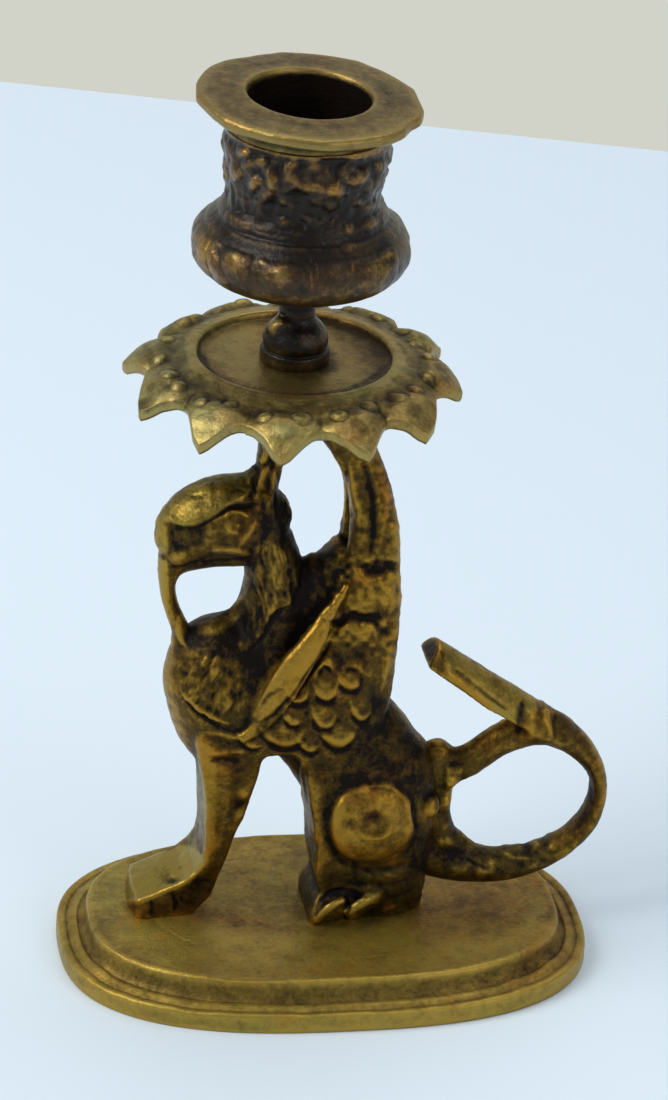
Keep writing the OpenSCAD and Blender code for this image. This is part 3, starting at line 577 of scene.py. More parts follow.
# Both fore legs are one slab that runs out into a single wide paw, cast off the centre line.
figure.slab([(-26, 56), (-27.6, 49.4), (-26.5, 43.7), (-25.3, 38.9), (-24.6, 31.7), (-24.1, 24.1), (-24.4, 21.1), (-25.7, 18.1),
             (-27.6, 15.8), (-32.1, 13.2), (-36.0, 11.6), (-36.6, 8), (-36.6, 4), (-25, 4), (-25, 8), (-23.6, 9.7),
             (-22, 11.4), (-21.2, 14), (-20.4, 18.1), (-19.4, 23), (-18.2, 28.5), (-17, 32.4), (-16.2, 36.2), (-15.3, 40.8),
             (-14.9, 44.3), (-13, 50), (-13, 56)],
            [(8, -2.9, -0.6), (11.4, -2.8, -1), (13.1, -2.5, -1.4), (15.8, -2.5, -2.2), (18.1, -3.2, -3.2), (21.1, -4.2, -4.2),
             (25, -5, -5), (31.7, -6.3, -6.3), (38.9, -7.6, -7.6), (44, -8.6, -8.4), (50, -9.2, -9), (56, -8, -8)],
            [(8, 12.2, 12), (13.1, 12.5, 12.3), (15.8, 12, 12), (18.1, 11.2, 11.2), (21.1, 10.2, 10.2), (25, 9.4, 9.4),
             (31.7, 8.8, 8.8), (44, 8.8, 8.6), (50, 9.2, 9), (56, 8, 8)], 1.7, 0.9, 0.8)
# Haunch, a round boss with a sunk middle, over the slab of both hind legs and paws.
figure.slab([(-4, 4), (-3.9, 8), (-3.8, 10.4), (-3.1, 12.6), (-2.1, 14.8), (-2.7, 17), (-3.3, 20), (-3.5, 26), (-4.3, 31), (-5.5, 37),
             (-6.5, 43), (-9, 47), (4, 47), (8, 43), (12, 37), (15, 31), (16, 26), (17, 20), (17.6, 17), (17.6, 12.6), (17, 4)],
            [(8, -8.7, -3), (10.4, -8.8, -3.6), (12.6, -8.4, -4.4), (14.8, -7.4, -5), (17, -7.8, -5.2), (20, -8.6, -6), (26, -9.2, -7),
             (31, -9.4, -7), (47, -8.6, -7)],
            [(8, 8.7, 3), (10.4, 8.8, 3.6), (12.6, 8.4, 4.4), (14.8, 7.4, 5), (17, 7.8, 5.2), (20, 8.6, 6), (26, 9.2, 7),
             (31, 9.4, 7), (47, 8.6, 7)], 1.6, 0.9)
figure.balls([6.4, 8, 31.4], [8.4, 3.9, 8.6], 0.5)
figure.balls([6.0, 12.9, 33.0], [4.6, 1.8, 4.4], 1.0, cut=True)
figure.balls([18.4, 5.2, 32.6], [1.8, 1.8, 2.4], 0.6)
for side in (-1, 1):
    figure.limb([[-2.6, side * 7.8, 9.6, 0.8, 0.7], [-0.6, side * 8.3, 12.4, 0.9, 0.7], [2.2, side * 7.4, 13.6, 0.8, 0.6]], 1.0)
    figure.limb([[3.4, side * 7.8, 11.0, 0.9, 0.7], [6.4, side * 7.4, 13.0, 1.1, 0.8], [9.8, side * 6.0, 13.4, 1.0, 0.7]], 1.0)
# Pad under the pan.
where, (x, y, z) = figure.window([-24, -12, 115], [0, 12, 124.5])
disc = np.maximum(np.hypot(x - AXIS, y) - (8.5 - (PAD_TOP - z) * 0.35), np.abs(z - 120.8) - 2.3)
figure.field[where] = union(figure.field[where], disc.astype(np.float32), 1.2)
figure.keep(2, PLATFORM - 0.12, -1)
figure.keep(2, PAD_TOP + 0.1, 1)

# Chasing and patina of the figure, with some painted highlights and painted shade, drawn where the viewer sees them:
# heights in mm, tone from black to rubbed.
art = Art((112, 420), (612, 936))
P, L, S = art.patch, art.line, art.spot
P([(112, 420), (612, 420), (612, 936), (112, 936)], 1, tone=-0.10)
# Head: smooth olive cap over a dark cheek, lidded eye, bill with its gape.
P([(170, 500), (250, 470), (262, 500), (262, 545), (240, 575), (180, 575), (160, 560), (158, 525)], 3, tone=-0.24)
P([(150, 530), (154, 512), (166, 500), (178, 488), (200, 474), (225, 464), (250, 456), (254, 470), (251, 490), (245, 497), (238, 502),
   (230, 505), (222, 510), (212, 517), (202, 522), (195, 525), (185, 526), (175, 524), (164, 521)], 2.5, tone=-0.04, tint=-0.8, height=0.35)
art.rough([(156, 515), (180, 480), (250, 462), (250, 492), (210, 515), (170, 522)], 9, 0.08, 0.10)
art.rough([(156, 515), (180, 480), (250, 462), (250, 492), (210, 515), (170, 522)], 3, 0.03, 0.08)
L([(190, 497), (200, 497), (209, 493)], 1.5, height=-0.22, tone=-0.1)
L([(231, 496), (236, 491), (246, 493)], 1.5, height=-0.25, tone=-0.2)
L([(166, 522), (185, 528), (202, 525), (222, 513), (245, 502)], 2.0, height=-0.25, tone=-0.38)
L([(222, 514), (234, 508), (247, 506), (258, 504)], 3.0, height=-0.45, tone=-0.5)
L([(225, 519), (229, 512), (240, 512), (249, 518)], 2.0, height=0.5, tone=0.22)
S((240, 525), (6, 5), height=-0.4, tone=-0.42)
S((238, 526), (3.2, 2.4), height=0.3, tone=-0.15)
L([(253, 516), (255, 522), (250, 531), (244, 540), (239, 548)], 3.2, height=0.35, tone=-0.02, tint=0.3)
L([(226, 524), (231, 531), (240, 533)], 1.8, height=0.25, tone=-0.1)
S((214, 531), (6, 5), height=0.2, tone=-0.1, tint=-0.4)
P([(170, 528), (205, 528), (204, 545), (178, 552), (168, 540)], 3, height=-0.3, tone=-0.44)
P([(157, 520), (167, 522), (168, 550), (160, 556), (154, 540)], 3, height=0.1, tone=0.24, tint=-0.5)
L([(171, 528), (172, 542), (169, 556)], 2.0, height=-0.2, tone=-0.25)
S((179, 557), (9, 5.5), height=0.45, tone=0.26)
L([(166, 566), (182, 567), (200, 560), (214, 555)], 1.8, height=-0.3, tone=-0.34)
L([(208, 551), (222, 549), (238, 551), (254, 555)], 3.4, height=0.5, tone=0.2)
L([(170, 570), (186, 572), (203, 566)], 4.5, tone=-0.16, tint=0.9)
P([(152, 556), (166, 560), (167, 580), (166, 600), (170, 622), (158, 610), (150, 585)], 1.6, tone=0.30, tint=-0.4)
P([(168, 560), (176, 566), (173, 590), (180, 612), (176, 620), (169, 600)], 1.6, height=-0.15, tone=-0.40)
# The gape's lower lip: raised, with a painted highlight along it.
L([(188, 624), (205, 626), (225, 614), (240, 602), (249, 588)], 4.6, height=0.4, tone=0.06, tint=-0.4)
L([(192, 563), (212, 561), (232, 560), (246, 562)], 2.0, height=-0.2, tone=-0.3)
# Crest and the nape.
P([(250, 462), (262, 458), (290, 455), (296, 480), (296, 560), (284, 556), (276, 520), (262, 500), (252, 492)], 4, tone=-0.42)
for k, (a, b, c, t) in enumerate((((258, 498), (262, 478), (272, 462), 0.0), ((266, 512), (272, 488), (276, 464), -0.1),
                                  ((284, 494), (286, 476), (281, 452), 0.26), ((262, 440), (266, 452), (262, 466), 0.2),
                                  ((280, 440), (282, 452), (278, 466), 0.14))):
    L([a, b, c], 3.0, height=0.45, tone=t)
L([(285, 500), (290, 515), (296, 545)], 2.2, height=0.4, tone=0.24)
art.strands([(250, 440), (300, 440), (300, 520), (250, 510)], 100, 5.0, 30, 0.22, 0.07)
# Neck plumage: lumps over a fringed edge, then smooth black skin down to the ridge.
P([(185, 625), (245, 600), (262, 560), (262, 500), (300, 500), (312, 545), (330, 580), (332, 605), (262, 715), (245, 690), (238, 662),
   (200, 655), (182, 645)], 4, tone=-0.52, tint=-0.2)
P([(252, 548), (268, 540), (290, 552), (298, 585), (292, 604), (274, 612), (264, 634), (244, 652), (236, 650), (250, 620), (254, 590)], 4,
  tone=-0.24, height=0.2)
fur = [(250, 548), (268, 538), (292, 550), (300, 585), (294, 606), (276, 614), (266, 636), (246, 654), (236, 650), (248, 620), (252, 590)]
art.strands(fur, 100, 2.6, 12, 0.16, 0.10)
art.strands(fur, 80, 6, 18, 0.25, 0.08)
L([(292, 604), (277, 613), (268, 626), (262, 638), (246, 656)], 2.0, height=-0.5, tone=-0.5)
# A painted highlight along the gape's lower lip, and painted shade under the lip.
L([(194, 632), (212, 631), (230, 621), (245, 607), (255, 590)], 4.6, tone=0.04, tint=-0.4)
P([(196, 641), (220, 637), (242, 624), (258, 606), (264, 630), (246, 655), (205, 655)], 5, tone=-0.56)
# Breast: gold front, mottled fur over a curved hem.
P([(155, 628), (174, 632), (173, 700), (184, 736), (196, 764), (184, 764), (168, 720), (155, 680)], 3, tone=0.22, tint=-0.2)
L([(178, 622), (180, 636), (186, 648)], 3.0, height=0.35, tone=0.34)
P([(180, 660), (200, 655), (222, 659), (238, 680), (246, 696), (242, 712), (230, 725), (208, 724), (190, 708), (182, 690)], 4, tone=-0.16)
fur = [(176, 652), (222, 654), (250, 695), (230, 728), (204, 724), (180, 700)]
art.strands(fur, 60, 3.0, 7, 0.16, 0.12)
art.rough(fur, 11, 0.4, 0.12)
L([(181, 690), (190, 700), (200, 709), (214, 717), (228, 723)], 2.6, height=0.5, tone=0.36)
L([(183, 698), (196, 712), (212, 722), (226, 729)], 2.0, height=-0.5, tone=-0.42)
# Bright blade of the wing's leading edge, with the leaf at its foot.
P([(337, 598), (322, 611), (313, 627), (300, 642), (285, 657), (271, 669), (260, 686), (253, 702), (252, 716), (262, 721), (272, 713),
   (281, 702), (291, 692), (301, 678), (311, 665), (319, 650), (334, 630)], 3.5, tone=0.30, height=0.1)
# A painted highlight along the blade.
L([(318, 628), (297, 650), (280, 669), (267, 690)], 5.0, height=0.2, tone=0.72)
L([(204, 733), (220, 733), (236, 736), (248, 731), (262, 718)], 3.4, height=0.3, tone=0.24)
L([(262, 708), (268, 698), (276, 692), (286, 688)], 2.0, height=-0.15, tone=-0.2)
L([(256, 722), (272, 717), (284, 705), (296, 692), (308, 676), (322, 656), (334, 634)], 2.4, height=-0.5, tone=-0.48)
# Scale feathers, each a bright curved lip over a dark hollow.
P([(262, 722), (285, 706), (308, 680), (335, 640), (372, 650), (376, 700), (356, 740), (300, 760), (236, 755), (206, 748), (240, 742)], 5, tone=-0.18)
for points, w, t in (([(342, 668), (350, 663), (360, 668), (361, 682)], 3.2, 0.34), ([(338, 672), (343, 683), (354, 685), (360, 676)], 3.6, 0.4),
                     ([(318, 672), (324, 661), (332, 668)], 2.8, 0.18), ([(314, 684), (320, 695), (331, 696), (337, 684)], 3.4, 0.34),
                     ([(311, 706), (316, 720), (328, 724), (336, 714)], 3.4, 0.36), ([(350, 702), (356, 716), (366, 716), (371, 704)], 3.2, 0.24),
                     ([(320, 728), (332, 741), (346, 741), (356, 727)], 4.2, 0.44), ([(260, 728), (276, 741), (292, 742), (305, 730)], 3.6, 0.22),
                     ([(298, 738), (307, 749), (320, 746)], 3.0, 0.14), ([(286, 686), (291, 698), (303, 699), (309, 688)], 3.0, 0.22),
                     ([(238, 732), (248, 744), (262, 746)], 2.8, 0.1), ([(283, 712), (290, 722), (302, 722)], 2.8, 0.16)):
    m = np.array(points, float).mean(0)
    S((m[0], m[1] - 4), (9, 8), power=2.4, height=0.3, tone=t - 0.30)
    L(points, 1.35 * w, 0.3, height=0.5, tone=t)
    L([(p[0], p[1] + 2.1 * w) for p in points], w * 0.8, 0.3, height=-0.45, tone=-0.36)
P([(330, 650), (372, 650), (372, 664), (338, 664)], 4, tone=-0.46)
# Wing column: long feathers, a rough channel and deep slits.
P([(283, 440), (320, 432), (378, 445), (392, 485), (402, 530), (406, 590), (400, 650), (392, 700), (372, 700), (330, 640), (335, 570), (346, 520),
   (342, 470), (328, 450), (306, 442)], 3, tone=-0.08)
art.strands([(330, 430), (380, 445), (404, 560), (400, 660), (372, 690), (322, 630), (336, 560), (346, 500)], 96, 6.5, 40, 0.08, 0.05)
L([(345, 476), (346, 500), (346, 522), (343, 542)], 2.4, 0.15, height=0.24, tone=0.12)
P([(348, 504), (360, 507), (361, 534), (351, 534)], 5, height=-0.09, tone=-0.21)
L([(351, 474), (356, 496), (363, 518), (366, 534)], 4.0, 0.15, height=0.3, tone=0.26)
P([(346, 532), (368, 532), (370, 562), (342, 562)], 3, height=0.12, tone=0.09)
L([(367, 478), (372, 505), (373, 530), (371, 556)], 5.0, 0.15, height=-0.25, tone=-0.42)
P([(376, 466), (388, 472), (394, 500), (382, 504)], 3, height=0.15, tone=0.07, tint=0.7)
S((391, 515), (4, 5), height=-0.24, tone=-0.22)
L([(392, 520), (394, 540), (395, 562)], 4.2, 0.15, height=0.21, tone=0.14)
P([(354, 444), (374, 448), (382, 470), (368, 474), (352, 466)], 3, height=0.12, tone=0.06)
L([(328, 452), (338, 462), (345, 476)], 3, height=0.24, tone=0.11)
P([(361, 567), (378, 560), (401, 563), (400, 572), (384, 573), (367, 577)], 4, height=-0.7, tone=-0.5)
P([(353, 568), (369, 568), (369, 586), (355, 586)], 3, height=0.24, tone=0.06, tint=0.6)
P([(335, 580), (400, 574), (401, 606), (380, 613), (333, 610)], 4, height=0.12, tone=0.06)
P([(329, 621), (348, 613), (371, 614), (382, 618), (376, 625), (356, 622), (336, 627)], 4, height=-0.7, tone=-0.5)
P([(322, 627), (372, 627), (366, 642), (320, 642)], 4, height=0.18, tone=0.06)
P([(376, 628), (389, 627), (389, 636), (378, 637)], 3, height=-0.36, tone=-0.3)
L([(399, 590), (396, 620), (391, 650), (385, 680)], 6.0, 0.15, height=0.15, tone=0.09)
L([(393, 640), (387, 668), (381, 692)], 2.4, 0.2, height=0.18, tone=0.23)
art.rough([(326, 560), (402, 560), (400, 660), (350, 650), (318, 640)], 6.0, 0.35, 0.12)
art.rough([(346, 470), (398, 480), (402, 560), (346, 560)], 5.0, 0.2, 0.10)
P([(290, 552), (310, 556), (326, 552), (340, 540), (340, 575), (322, 600), (300, 620), (286, 590)], 4, tone=-0.46, tint=-0.2)
P([(430, 762), (462, 762), (458, 880), (428, 880)], 6, tone=-0.3)
P([(340, 440), (382, 446), (396, 500), (398, 556), (344, 556), (350, 500)], 8, tone=-0.14)
L([(350, 462), (352, 480), (356, 505), (360, 535)], 4.0, height=0.2, tone=0.26)
L([(363, 460), (369, 485), (374, 512), (373, 545)], 4.0, 0.15, height=-0.25, tone=-0.42)
L([(381, 480), (386, 500), (386, 530)], 5.0, height=0.1, tone=0.1, tint=0.5)
L([(394, 505), (400, 540), (402, 580), (399, 610)], 4.0, height=0.15, tone=0.36)
P([(340, 586), (370, 580), (394, 580), (392, 604), (372, 608), (336, 606)], 4, height=0.15, tone=0.12)
L([(380, 584), (392, 600), (388, 620)], 3.0, height=0.2, tone=0.2)
P([(392, 640), (398, 640), (392, 680), (384, 684)], 3, tone=0.16)
# Rump and back.
P([(372, 690), (392, 700), (440, 760), (450, 850), (405, 860), (330, 790), (352, 745)], 6, tone=-0.46)
L([(392, 700), (408, 722), (424, 745)], 3.0, 0.2, tone=0.0)
# Fore legs and the wide paw.
P([(186, 752), (200, 764), (205, 800), (204, 850), (186, 852), (180, 790)], 2.5, tone=0.14, tint=-1.0)
P([(202, 745), (216, 748), (217, 800), (214, 850), (203, 862), (203, 800)], 2.5, tone=0.44)
P([(216, 748), (232, 750), (232, 800), (226, 850), (214, 862), (216, 800)], 4, tone=0.16)
P([(232, 752), (264, 764), (252, 815), (236, 845), (222, 880), (206, 900), (196, 896), (214, 860), (228, 820)], 3.5, tone=-0.18)
S((243, 795), (6, 6), height=0.4, tone=0.0)
S((239, 816), (5, 6), height=0.35, tone=-0.05)
S((241, 805), (8, 4), height=-0.4, tone=-0.5)
L([(207, 762), (224, 759), (244, 763)], 2.2, height=-0.2, tone=-0.1)
L([(206, 756), (228, 752), (250, 752)], 3.0, height=0.3, tone=0.12)
P([(184, 845), (205, 855), (206, 862), (196, 873), (185, 882), (165, 890), (150, 897), (134, 902), (118, 904), (118, 868), (135, 858), (160, 852)],
  2.0, tone=0.62, tint=-0.9)
L([(120, 906), (134, 902), (150, 897), (166, 890), (184, 882), (198, 873)], 3.0, 0.1, height=0.35, tone=0.46)
S((171, 880), (9, 5), height=-0.35, tone=-0.05)
# Painted shade over the paw's near side, below its rolled edge.
P([(120, 912), (140, 904), (165, 894), (190, 882), (206, 874), (218, 884), (206, 902), (180, 920), (140, 926), (120, 926)], 2.5, tone=-0.34)
L([(138, 919), (160, 921), (186, 915)], 2.0, tone=0.0)
L([(150, 899), (152, 908), (150, 917)], 1.8, height=-0.3, tone=-0.5)
L([(172, 892), (175, 902), (174, 913)], 1.8, height=-0.3, tone=-0.5)
# Haunch boss, hind leg and paw.
P([(303, 752), (338, 760), (342, 800), (338, 850), (318, 862), (309, 820), (303, 785)], 4, tone=-0.16)
L([(302, 760), (305, 790), (309, 818), (316, 844)], 2.6, 0.1, height=0.35, tone=0.10)
ring = [(372 + 41 * math.cos(a), 824 + 38 * math.sin(a)) for a in np.linspace(0, 2 * math.pi, 25)[:-1]]
P(ring, 4, tone=0.18, height=0.1)
L([(366, 788), (346, 796), (337, 815), (338, 836), (347, 853), (362, 861)], 5.5, 0.2, height=0.35, tone=0.30)
L([(366, 787), (386, 786), (404, 798), (411, 818), (408, 838), (396, 854), (376, 862)], 3.4, 0.2, height=0.4, tone=0.10)
# Two painted highlights on the boss's upper rim.
S((363, 790), (5, 4), height=0.3, tone=0.5)
S((379, 799), (5, 4), height=0.4, tone=0.42)
S((376, 817), (8, 5), height=-0.3, tone=-0.14)
S((351, 823), (5, 5), height=-0.25, tone=-0.12)
L([(360, 832), (368, 838), (384, 836), (392, 826)], 3.0, height=0.4, tone=0.12)
P([(330, 782), (300 + 36, 866), (412, 872), (424, 800), (372, 776)], 1, height=0)
L([(328, 800), (326, 826), (334, 854), (352, 868), (376, 872), (402, 864), (416, 842)], 4.0, 0.1, height=-0.15, tone=-0.2)
S((425, 815), (9, 14), height=0.5, tone=0.26)
L([(413, 798), (412, 815), (418, 834)], 2.2, height=-0.45, tone=-0.45)
P([(408, 852), (436, 850), (438, 874), (410, 876)], 3, tone=-0.45)
P([(430, 838), (444, 838), (444, 872), (430, 872)], 3, tone=-0.2)
P([(292, 888), (320, 870), (420, 868), (428, 900), (400, 920), (345, 934), (300, 930), (288, 905)], 3, tone=-0.26, tint=-0.6)
for facet in ([(315, 920), (322, 910), (335, 898), (345, 900), (345, 912), (335, 918), (320, 923)],
              [(346, 919), (353, 905), (365, 898), (381, 892), (385, 895), (376, 905), (361, 915), (349, 922)],
              [(354, 887), (370, 886), (383, 891), (378, 898), (360, 894)]):
    P(facet, 3.0, height=0.2, tone=0.04)
L([(380, 911), (390, 908), (398, 905)], 3.0, height=0.3, tone=0.16, tint=0.8)
L([(347, 898), (348, 910), (344, 924)], 2.0, height=-0.5, tone=-0.5)
L([(316, 905), (330, 893), (348, 889)], 2.2, height=-0.4, tone=-0.45)
# Tail: end of the thumb rest, its lips, the binding folds and the ring.
P([(424, 648), (433, 644), (446, 655), (444, 670), (440, 677), (431, 666)], 1.4, tone=-0.46)
P([(440, 636), (462, 650), (502, 674), (545, 702), (520, 722), (498, 716), (470, 690), (444, 671), (446, 655)], 2.5, tone=0.07, tint=-0.7)
# The thumb rest's lower edge: a raised lip with a painted highlight along it.
L([(444, 672), (455, 679), (470, 692), (485, 706), (498, 718), (511, 723)], 3.0, 0.1, height=0.3, tone=0.32, tint=0.2)
L([(452, 668), (472, 684), (492, 700), (510, 712)], 1.8, 0.1, height=-0.15, tone=-0.2)
L([(523, 698), (520, 716), (517, 736)], 3.4, 0.15, height=-0.3, tone=-0.36)
L([(557, 712), (555, 724), (556, 738)], 3.8, 0.15, height=-0.3, tone=-0.36)
L([(534, 704), (531, 722), (530, 742)], 3.4, 0.15, height=0.21, tone=0.11)
L([(546, 706), (548, 722), (552, 738)], 2.6, 0.15, height=0.24, tone=0.28)
P([(420, 728), (438, 742), (462, 747), (482, 734), (498, 722), (516, 736), (508, 758), (480, 766), (452, 786), (440, 800), (424, 780)], 3, tone=-0.22)
L([(424, 733), (436, 744), (450, 749), (464, 746), (480, 737)], 2.4, 0.15, height=0.12, tone=-0.1)
P([(446, 768), (462, 768), (458, 800), (446, 806)], 3, height=0.24, tone=0.21)
P([(556, 708), (582, 730), (602, 765), (608, 800), (596, 845), (575, 868), (545, 884), (540, 866), (580, 822), (588, 790), (584, 766), (560, 742)],
  3, tone=-0.44)
L([(572, 722), (590, 742), (602, 768), (606, 792), (604, 818), (596, 840), (580, 862)], 4.0, 0.1, height=0.12, tone=-0.04)
L([(574, 748), (586, 768), (590, 792), (587, 812), (576, 828)], 3.6, 0.1, height=-0.15, tone=-0.4)
P([(446, 836), (500, 844), (552, 836), (556, 880), (500, 884), (446, 880)], 4, tone=-0.32, tint=-0.5)
art.rough([(440, 820), (556, 836), (556, 884), (440, 884)], 9, 0.35, 0.12)
L([(464, 857), (480, 866), (490, 869)], 2.0, height=-0.24, tone=-0.42)
L([(500, 850), (514, 858), (534, 858)], 2.4, height=0.18, tone=0.07)

points, faces = figure.mesh()
piece("griffin_casting", points, faces, ["griffin"], figure_brass, rough=0.2, seed=3, art=art, mirror=other_flank)

# ---------------------------------------------------------------- tail

tail = Clay([15, -8, 8], [56.5, 8, 67], STEP)
# Thumb rest, half round above and flat below, its free end cut square.
tail.limb([[42.5, 0, 44.2, 4.3, 4.0], [34.4, 0, 48.6, 5.2, 4.8], [26.6, 0, 54.2, 4.9, 4.9], [14, 0, 63.6, 4.3, 4.8]], 0.1)
x, z = tail.axes[0][:, None], tail.axes[2][None, :]
under = (np.interp(x, [14, 26.6, 34.4, 42.5], [63.6, 54.2, 48.6, 44.2]) - z) * 0.8
tail.field = -union(-tail.field, -(under[:, None, :] + 0 * tail.field), 0.8)
tail.field = -union(-tail.field, -(((x - 17.0) * -0.82 + (z - 62.4) * 0.57)[:, None, :] - 0.4 + 0 * tail.field), 0.5).astype(np.float32)
tail.limb([[18.4, 0, 19, 4.2, 3.4], [24, 0, 17, 4, 3.4], [29, 0, 16, 3.6, 3.4], [35, 0, 15.8, 3.3, 3.4],
           [41.5, 0, 17.4, 2.7, 3.4], [47, 0, 20.6, 2.2, 3.4], [50.8, 0, 25.4, 1.9, 3.35],
           [52.2, 0, 31.4, 1.7, 3.3], [51.1, 0, 37, 1.8, 3.3], [47, 0, 42.3, 2.5, 3.5],
           [42.6, 0, 45.3, 3.2, 3.9], [38, 0, 47.4, 3.3, 4.2]], 1.2)
tail.limb([[17.6, 0, 37.6, 5.4, 3.2], [21.5, 0, 37.8, 4, 3], [26.5, 0, 39.3, 3.2, 2.8], [32, 0, 43.4, 3.1, 3], [38.5, 0, 46, 3.2, 3.6]], 1.5)
tail.limb([[20.2, 0, 41, 2.8, 3], [20.7, 0, 34, 2.8, 2.8], [20.9, 0, 28.4, 2.6, 2.8], [22.1, 0, 23, 3.2, 3], [26.2, 0, 18.2, 3.4, 3]], 1.5)
for at, size in (((22.4, -1.4, 36.2), (1.5, 2.4, 1.6)), ((21.6, -2.0, 31.4), (1.3, 1.6, 1.9)), ((22.6, -1.8, 22.8), (1.6, 1.8, 1.4)),
                 ((24, 1.8, 36.8), (1.6, 1.6, 1.3))):
    tail.ball(at, size, 0.9)
points, faces = tail.mesh()
piece("tail_casting", points, faces, ["tail_loop"], figure_brass, rough=0.18, seed=13, art=art, mirror=other_flank)

# ---------------------------------------------------------------- plinth

def plinth_rings(profile, count):
    angle = np.linspace(0, 2 * math.pi, count, endpoint=False)
    p = 2 / 2.6
    shape_x = np.sign(np.cos(angle)) * np.abs(np.cos(angle)) ** p
    shape_y = np.sign(np.sin(angle)) * np.abs(np.sin(angle)) ** p
    # Even out the spacing of points round the outline.
    at = np.concatenate([[0], np.cumsum(np.hypot(np.diff(51 * shape_x), np.diff(32.25 * shape_y)))])
    even = np.interp(np.linspace(0, at[-1], count, endpoint=False), at, angle)
    shape_x = np.sign(np.cos(even)) * np.abs(np.cos(even)) ** p
    shape_y = np.sign(np.sin(even)) * np.abs(np.sin(even)) ** p
    inset, height = profile[:, :1], profile[:, 1:2]
    half_x, half_y = np.maximum(51 - inset, 0), np.maximum(32.25 - inset * profile[:, 2:3], 0)
    return np.stack([half_x * shape_x, half_y * shape_y, height + 0 * shape_x], -1)


def refine(points, gap):
    """More points along a line of profile points, none further apart than gap."""
    out = [points[0]]
    for a, b in zip(points, points[1:]):
        n = max(1, math.ceil(math.hypot(b[0] - a[0], b[1] - a[1]) / gap))
        out += [tuple(a[k] + (b[k] - a[k]) * i / n for k in range(len(a))) for i in range(1, n + 1)]
    return np.array(out)


moulding = curve([(0.25, 0.0), (0.0, 0.5), (0.0, 2.0), (0.02, 3.2), (0.28, 3.78), (0.8, 3.98), (1.5, 3.86), (1.85, 3.62),
                  (2.3, 3.86), (3.0, 4.22), (3.7, 4.26), (4.1, 4.0), (4.5, 4.2), (5.0, 4.9), (5.3, 5.9), (5.42, 6.9),
                  (5.6, 7.6), (6.0, 7.98), (6.5, 8.08), (7.1, 8.02), (7.9, 8.0)], 4)
moulding = np.concatenate([moulding, np.ones((len(moulding), 1))], 1)
COUNT = 600
top = [(7.9 + t * (51 - 7.9), 8.0, 1 + (32.25 / 51 - 1) * smooth(t)) for t in np.linspace(0, 1, 110)[1:]]
# Under the platform: the hollow, walls first, as the lowest rings of the same skin.
under = refine([(51.0, 5.4), (9.3, 5.4), (8.2, 4.6), (5.95, 2.8), (2.8, 2.2), (2.6, 0.0), (0.25, 0.0)], 1.2)[::-1]
under = [(a, b, 1 + (32.25 / 51 - 1) * float(smooth((a - 9.3) / 41.7))) for a, b in under]
rings = plinth_rings(np.concatenate([np.array(under[::-1]), moulding[1:], np.array(top)]), COUNT)
rows = len(rings)
points = rings.reshape(-1, 3)
i, j = np.meshgrid(np.arange(rows - 1), np.arange(COUNT), indexing="ij")
k = (j + 1) % COUNT
faces = np.stack([i * COUNT + j, i * COUNT + k, (i + 1) * COUNT + k, (i + 1) * COUNT + j], -1).reshape(-1, 4)
# The cast skin rises and dips a little, and the rims are dented here and there.
level = points[:, 2]
shown = level > 0.2
dents = np.clip(noise(points, (7, 7, 4), 21) - 0.25, 0, 1) * smooth((level - 2.6) / 1.5)
on_rim = np.exp(-((level - 8.05) / 0.25) ** 2) * (np.abs(np.hypot(points[:, 0] / 44.5, points[:, 1] / 25.8) - 1) < 0.25)
wave = noise(points, 9.0, 22) * 0.09 + noise(points, 3.0, 23) * 0.05 + noise(points, 1.2, 24) * 0.03
points[:, 2] += shown * (wave * smooth(level / 2) - 0.32 * dents * (level < 7.7) - 0.25 * dents * on_rim)
# Rounded bump of spilt metal on the ledge at the right, and one on the rim.
for at, size, h in (((40.5, -17.5), 2.4, 0.45), ((33.5, -24.2), 2.0, 0.35), ((-44, -14), 2.5, 0.3)):
    points[:, 2] += shown * h * np.exp(-((points[:, 0] - at[0]) ** 2 + (points[:, 1] - at[1]) ** 2) / size ** 2) * (level > 3.5) * (level < 7.9)
art = Art((48, 830), (592, 1036))
P, L, S = art.patch, art.line, art.spot
P([(140, 880), (210, 900), (330, 940), (520, 900), (560, 930), (470, 968), (330, 978), (180, 972), (110, 940)], 14, tone=0.42)
P([(75, 870), (130, 850), (130, 900), (110, 930), (80, 905)], 10, tone=0.16, tint=-0.3)
P([(400, 880), (540, 880), (520, 935), (420, 945)], 14, tone=-0.02, tint=0.5)
P([(210, 900), (300, 905), (350, 935), (260, 925)], 10, tone=0.04)
P([(540, 870), (580, 900), (560, 970), (500, 1000), (520, 950), (548, 910)], 8, tone=-0.12, tint=0.3)
P([(60, 985), (200, 1006), (330, 1012), (450, 1008), (586, 960), (560, 1010), (330, 1036), (100, 1010)], 5, tone=0.2)
P([(150, 958), (330, 968), (480, 955), (548, 920), (560, 935), (480, 972), (330, 984), (150, 972)], 4, tone=0.3)
P([(200, 902), (260, 916), (300, 930), (250, 934), (190, 920)], 8, tone=-0.16, tint=0.4)
for at in ((250, 945), (190, 930), (300, 955), (470, 940), (380, 955), (110, 905), (520, 905), (150, 950)):
    S(at, (26, 7), -4, tone=0.2)
piece("plinth_casting", points, faces, ["plinth"], plinth_brass, seed=7, art=art, mirror=other_flank)

# ---------------------------------------------------------------- drip pan

COUNT = 864
angle = np.linspace(0, 2 * math.pi, COUNT, endpoint=False)
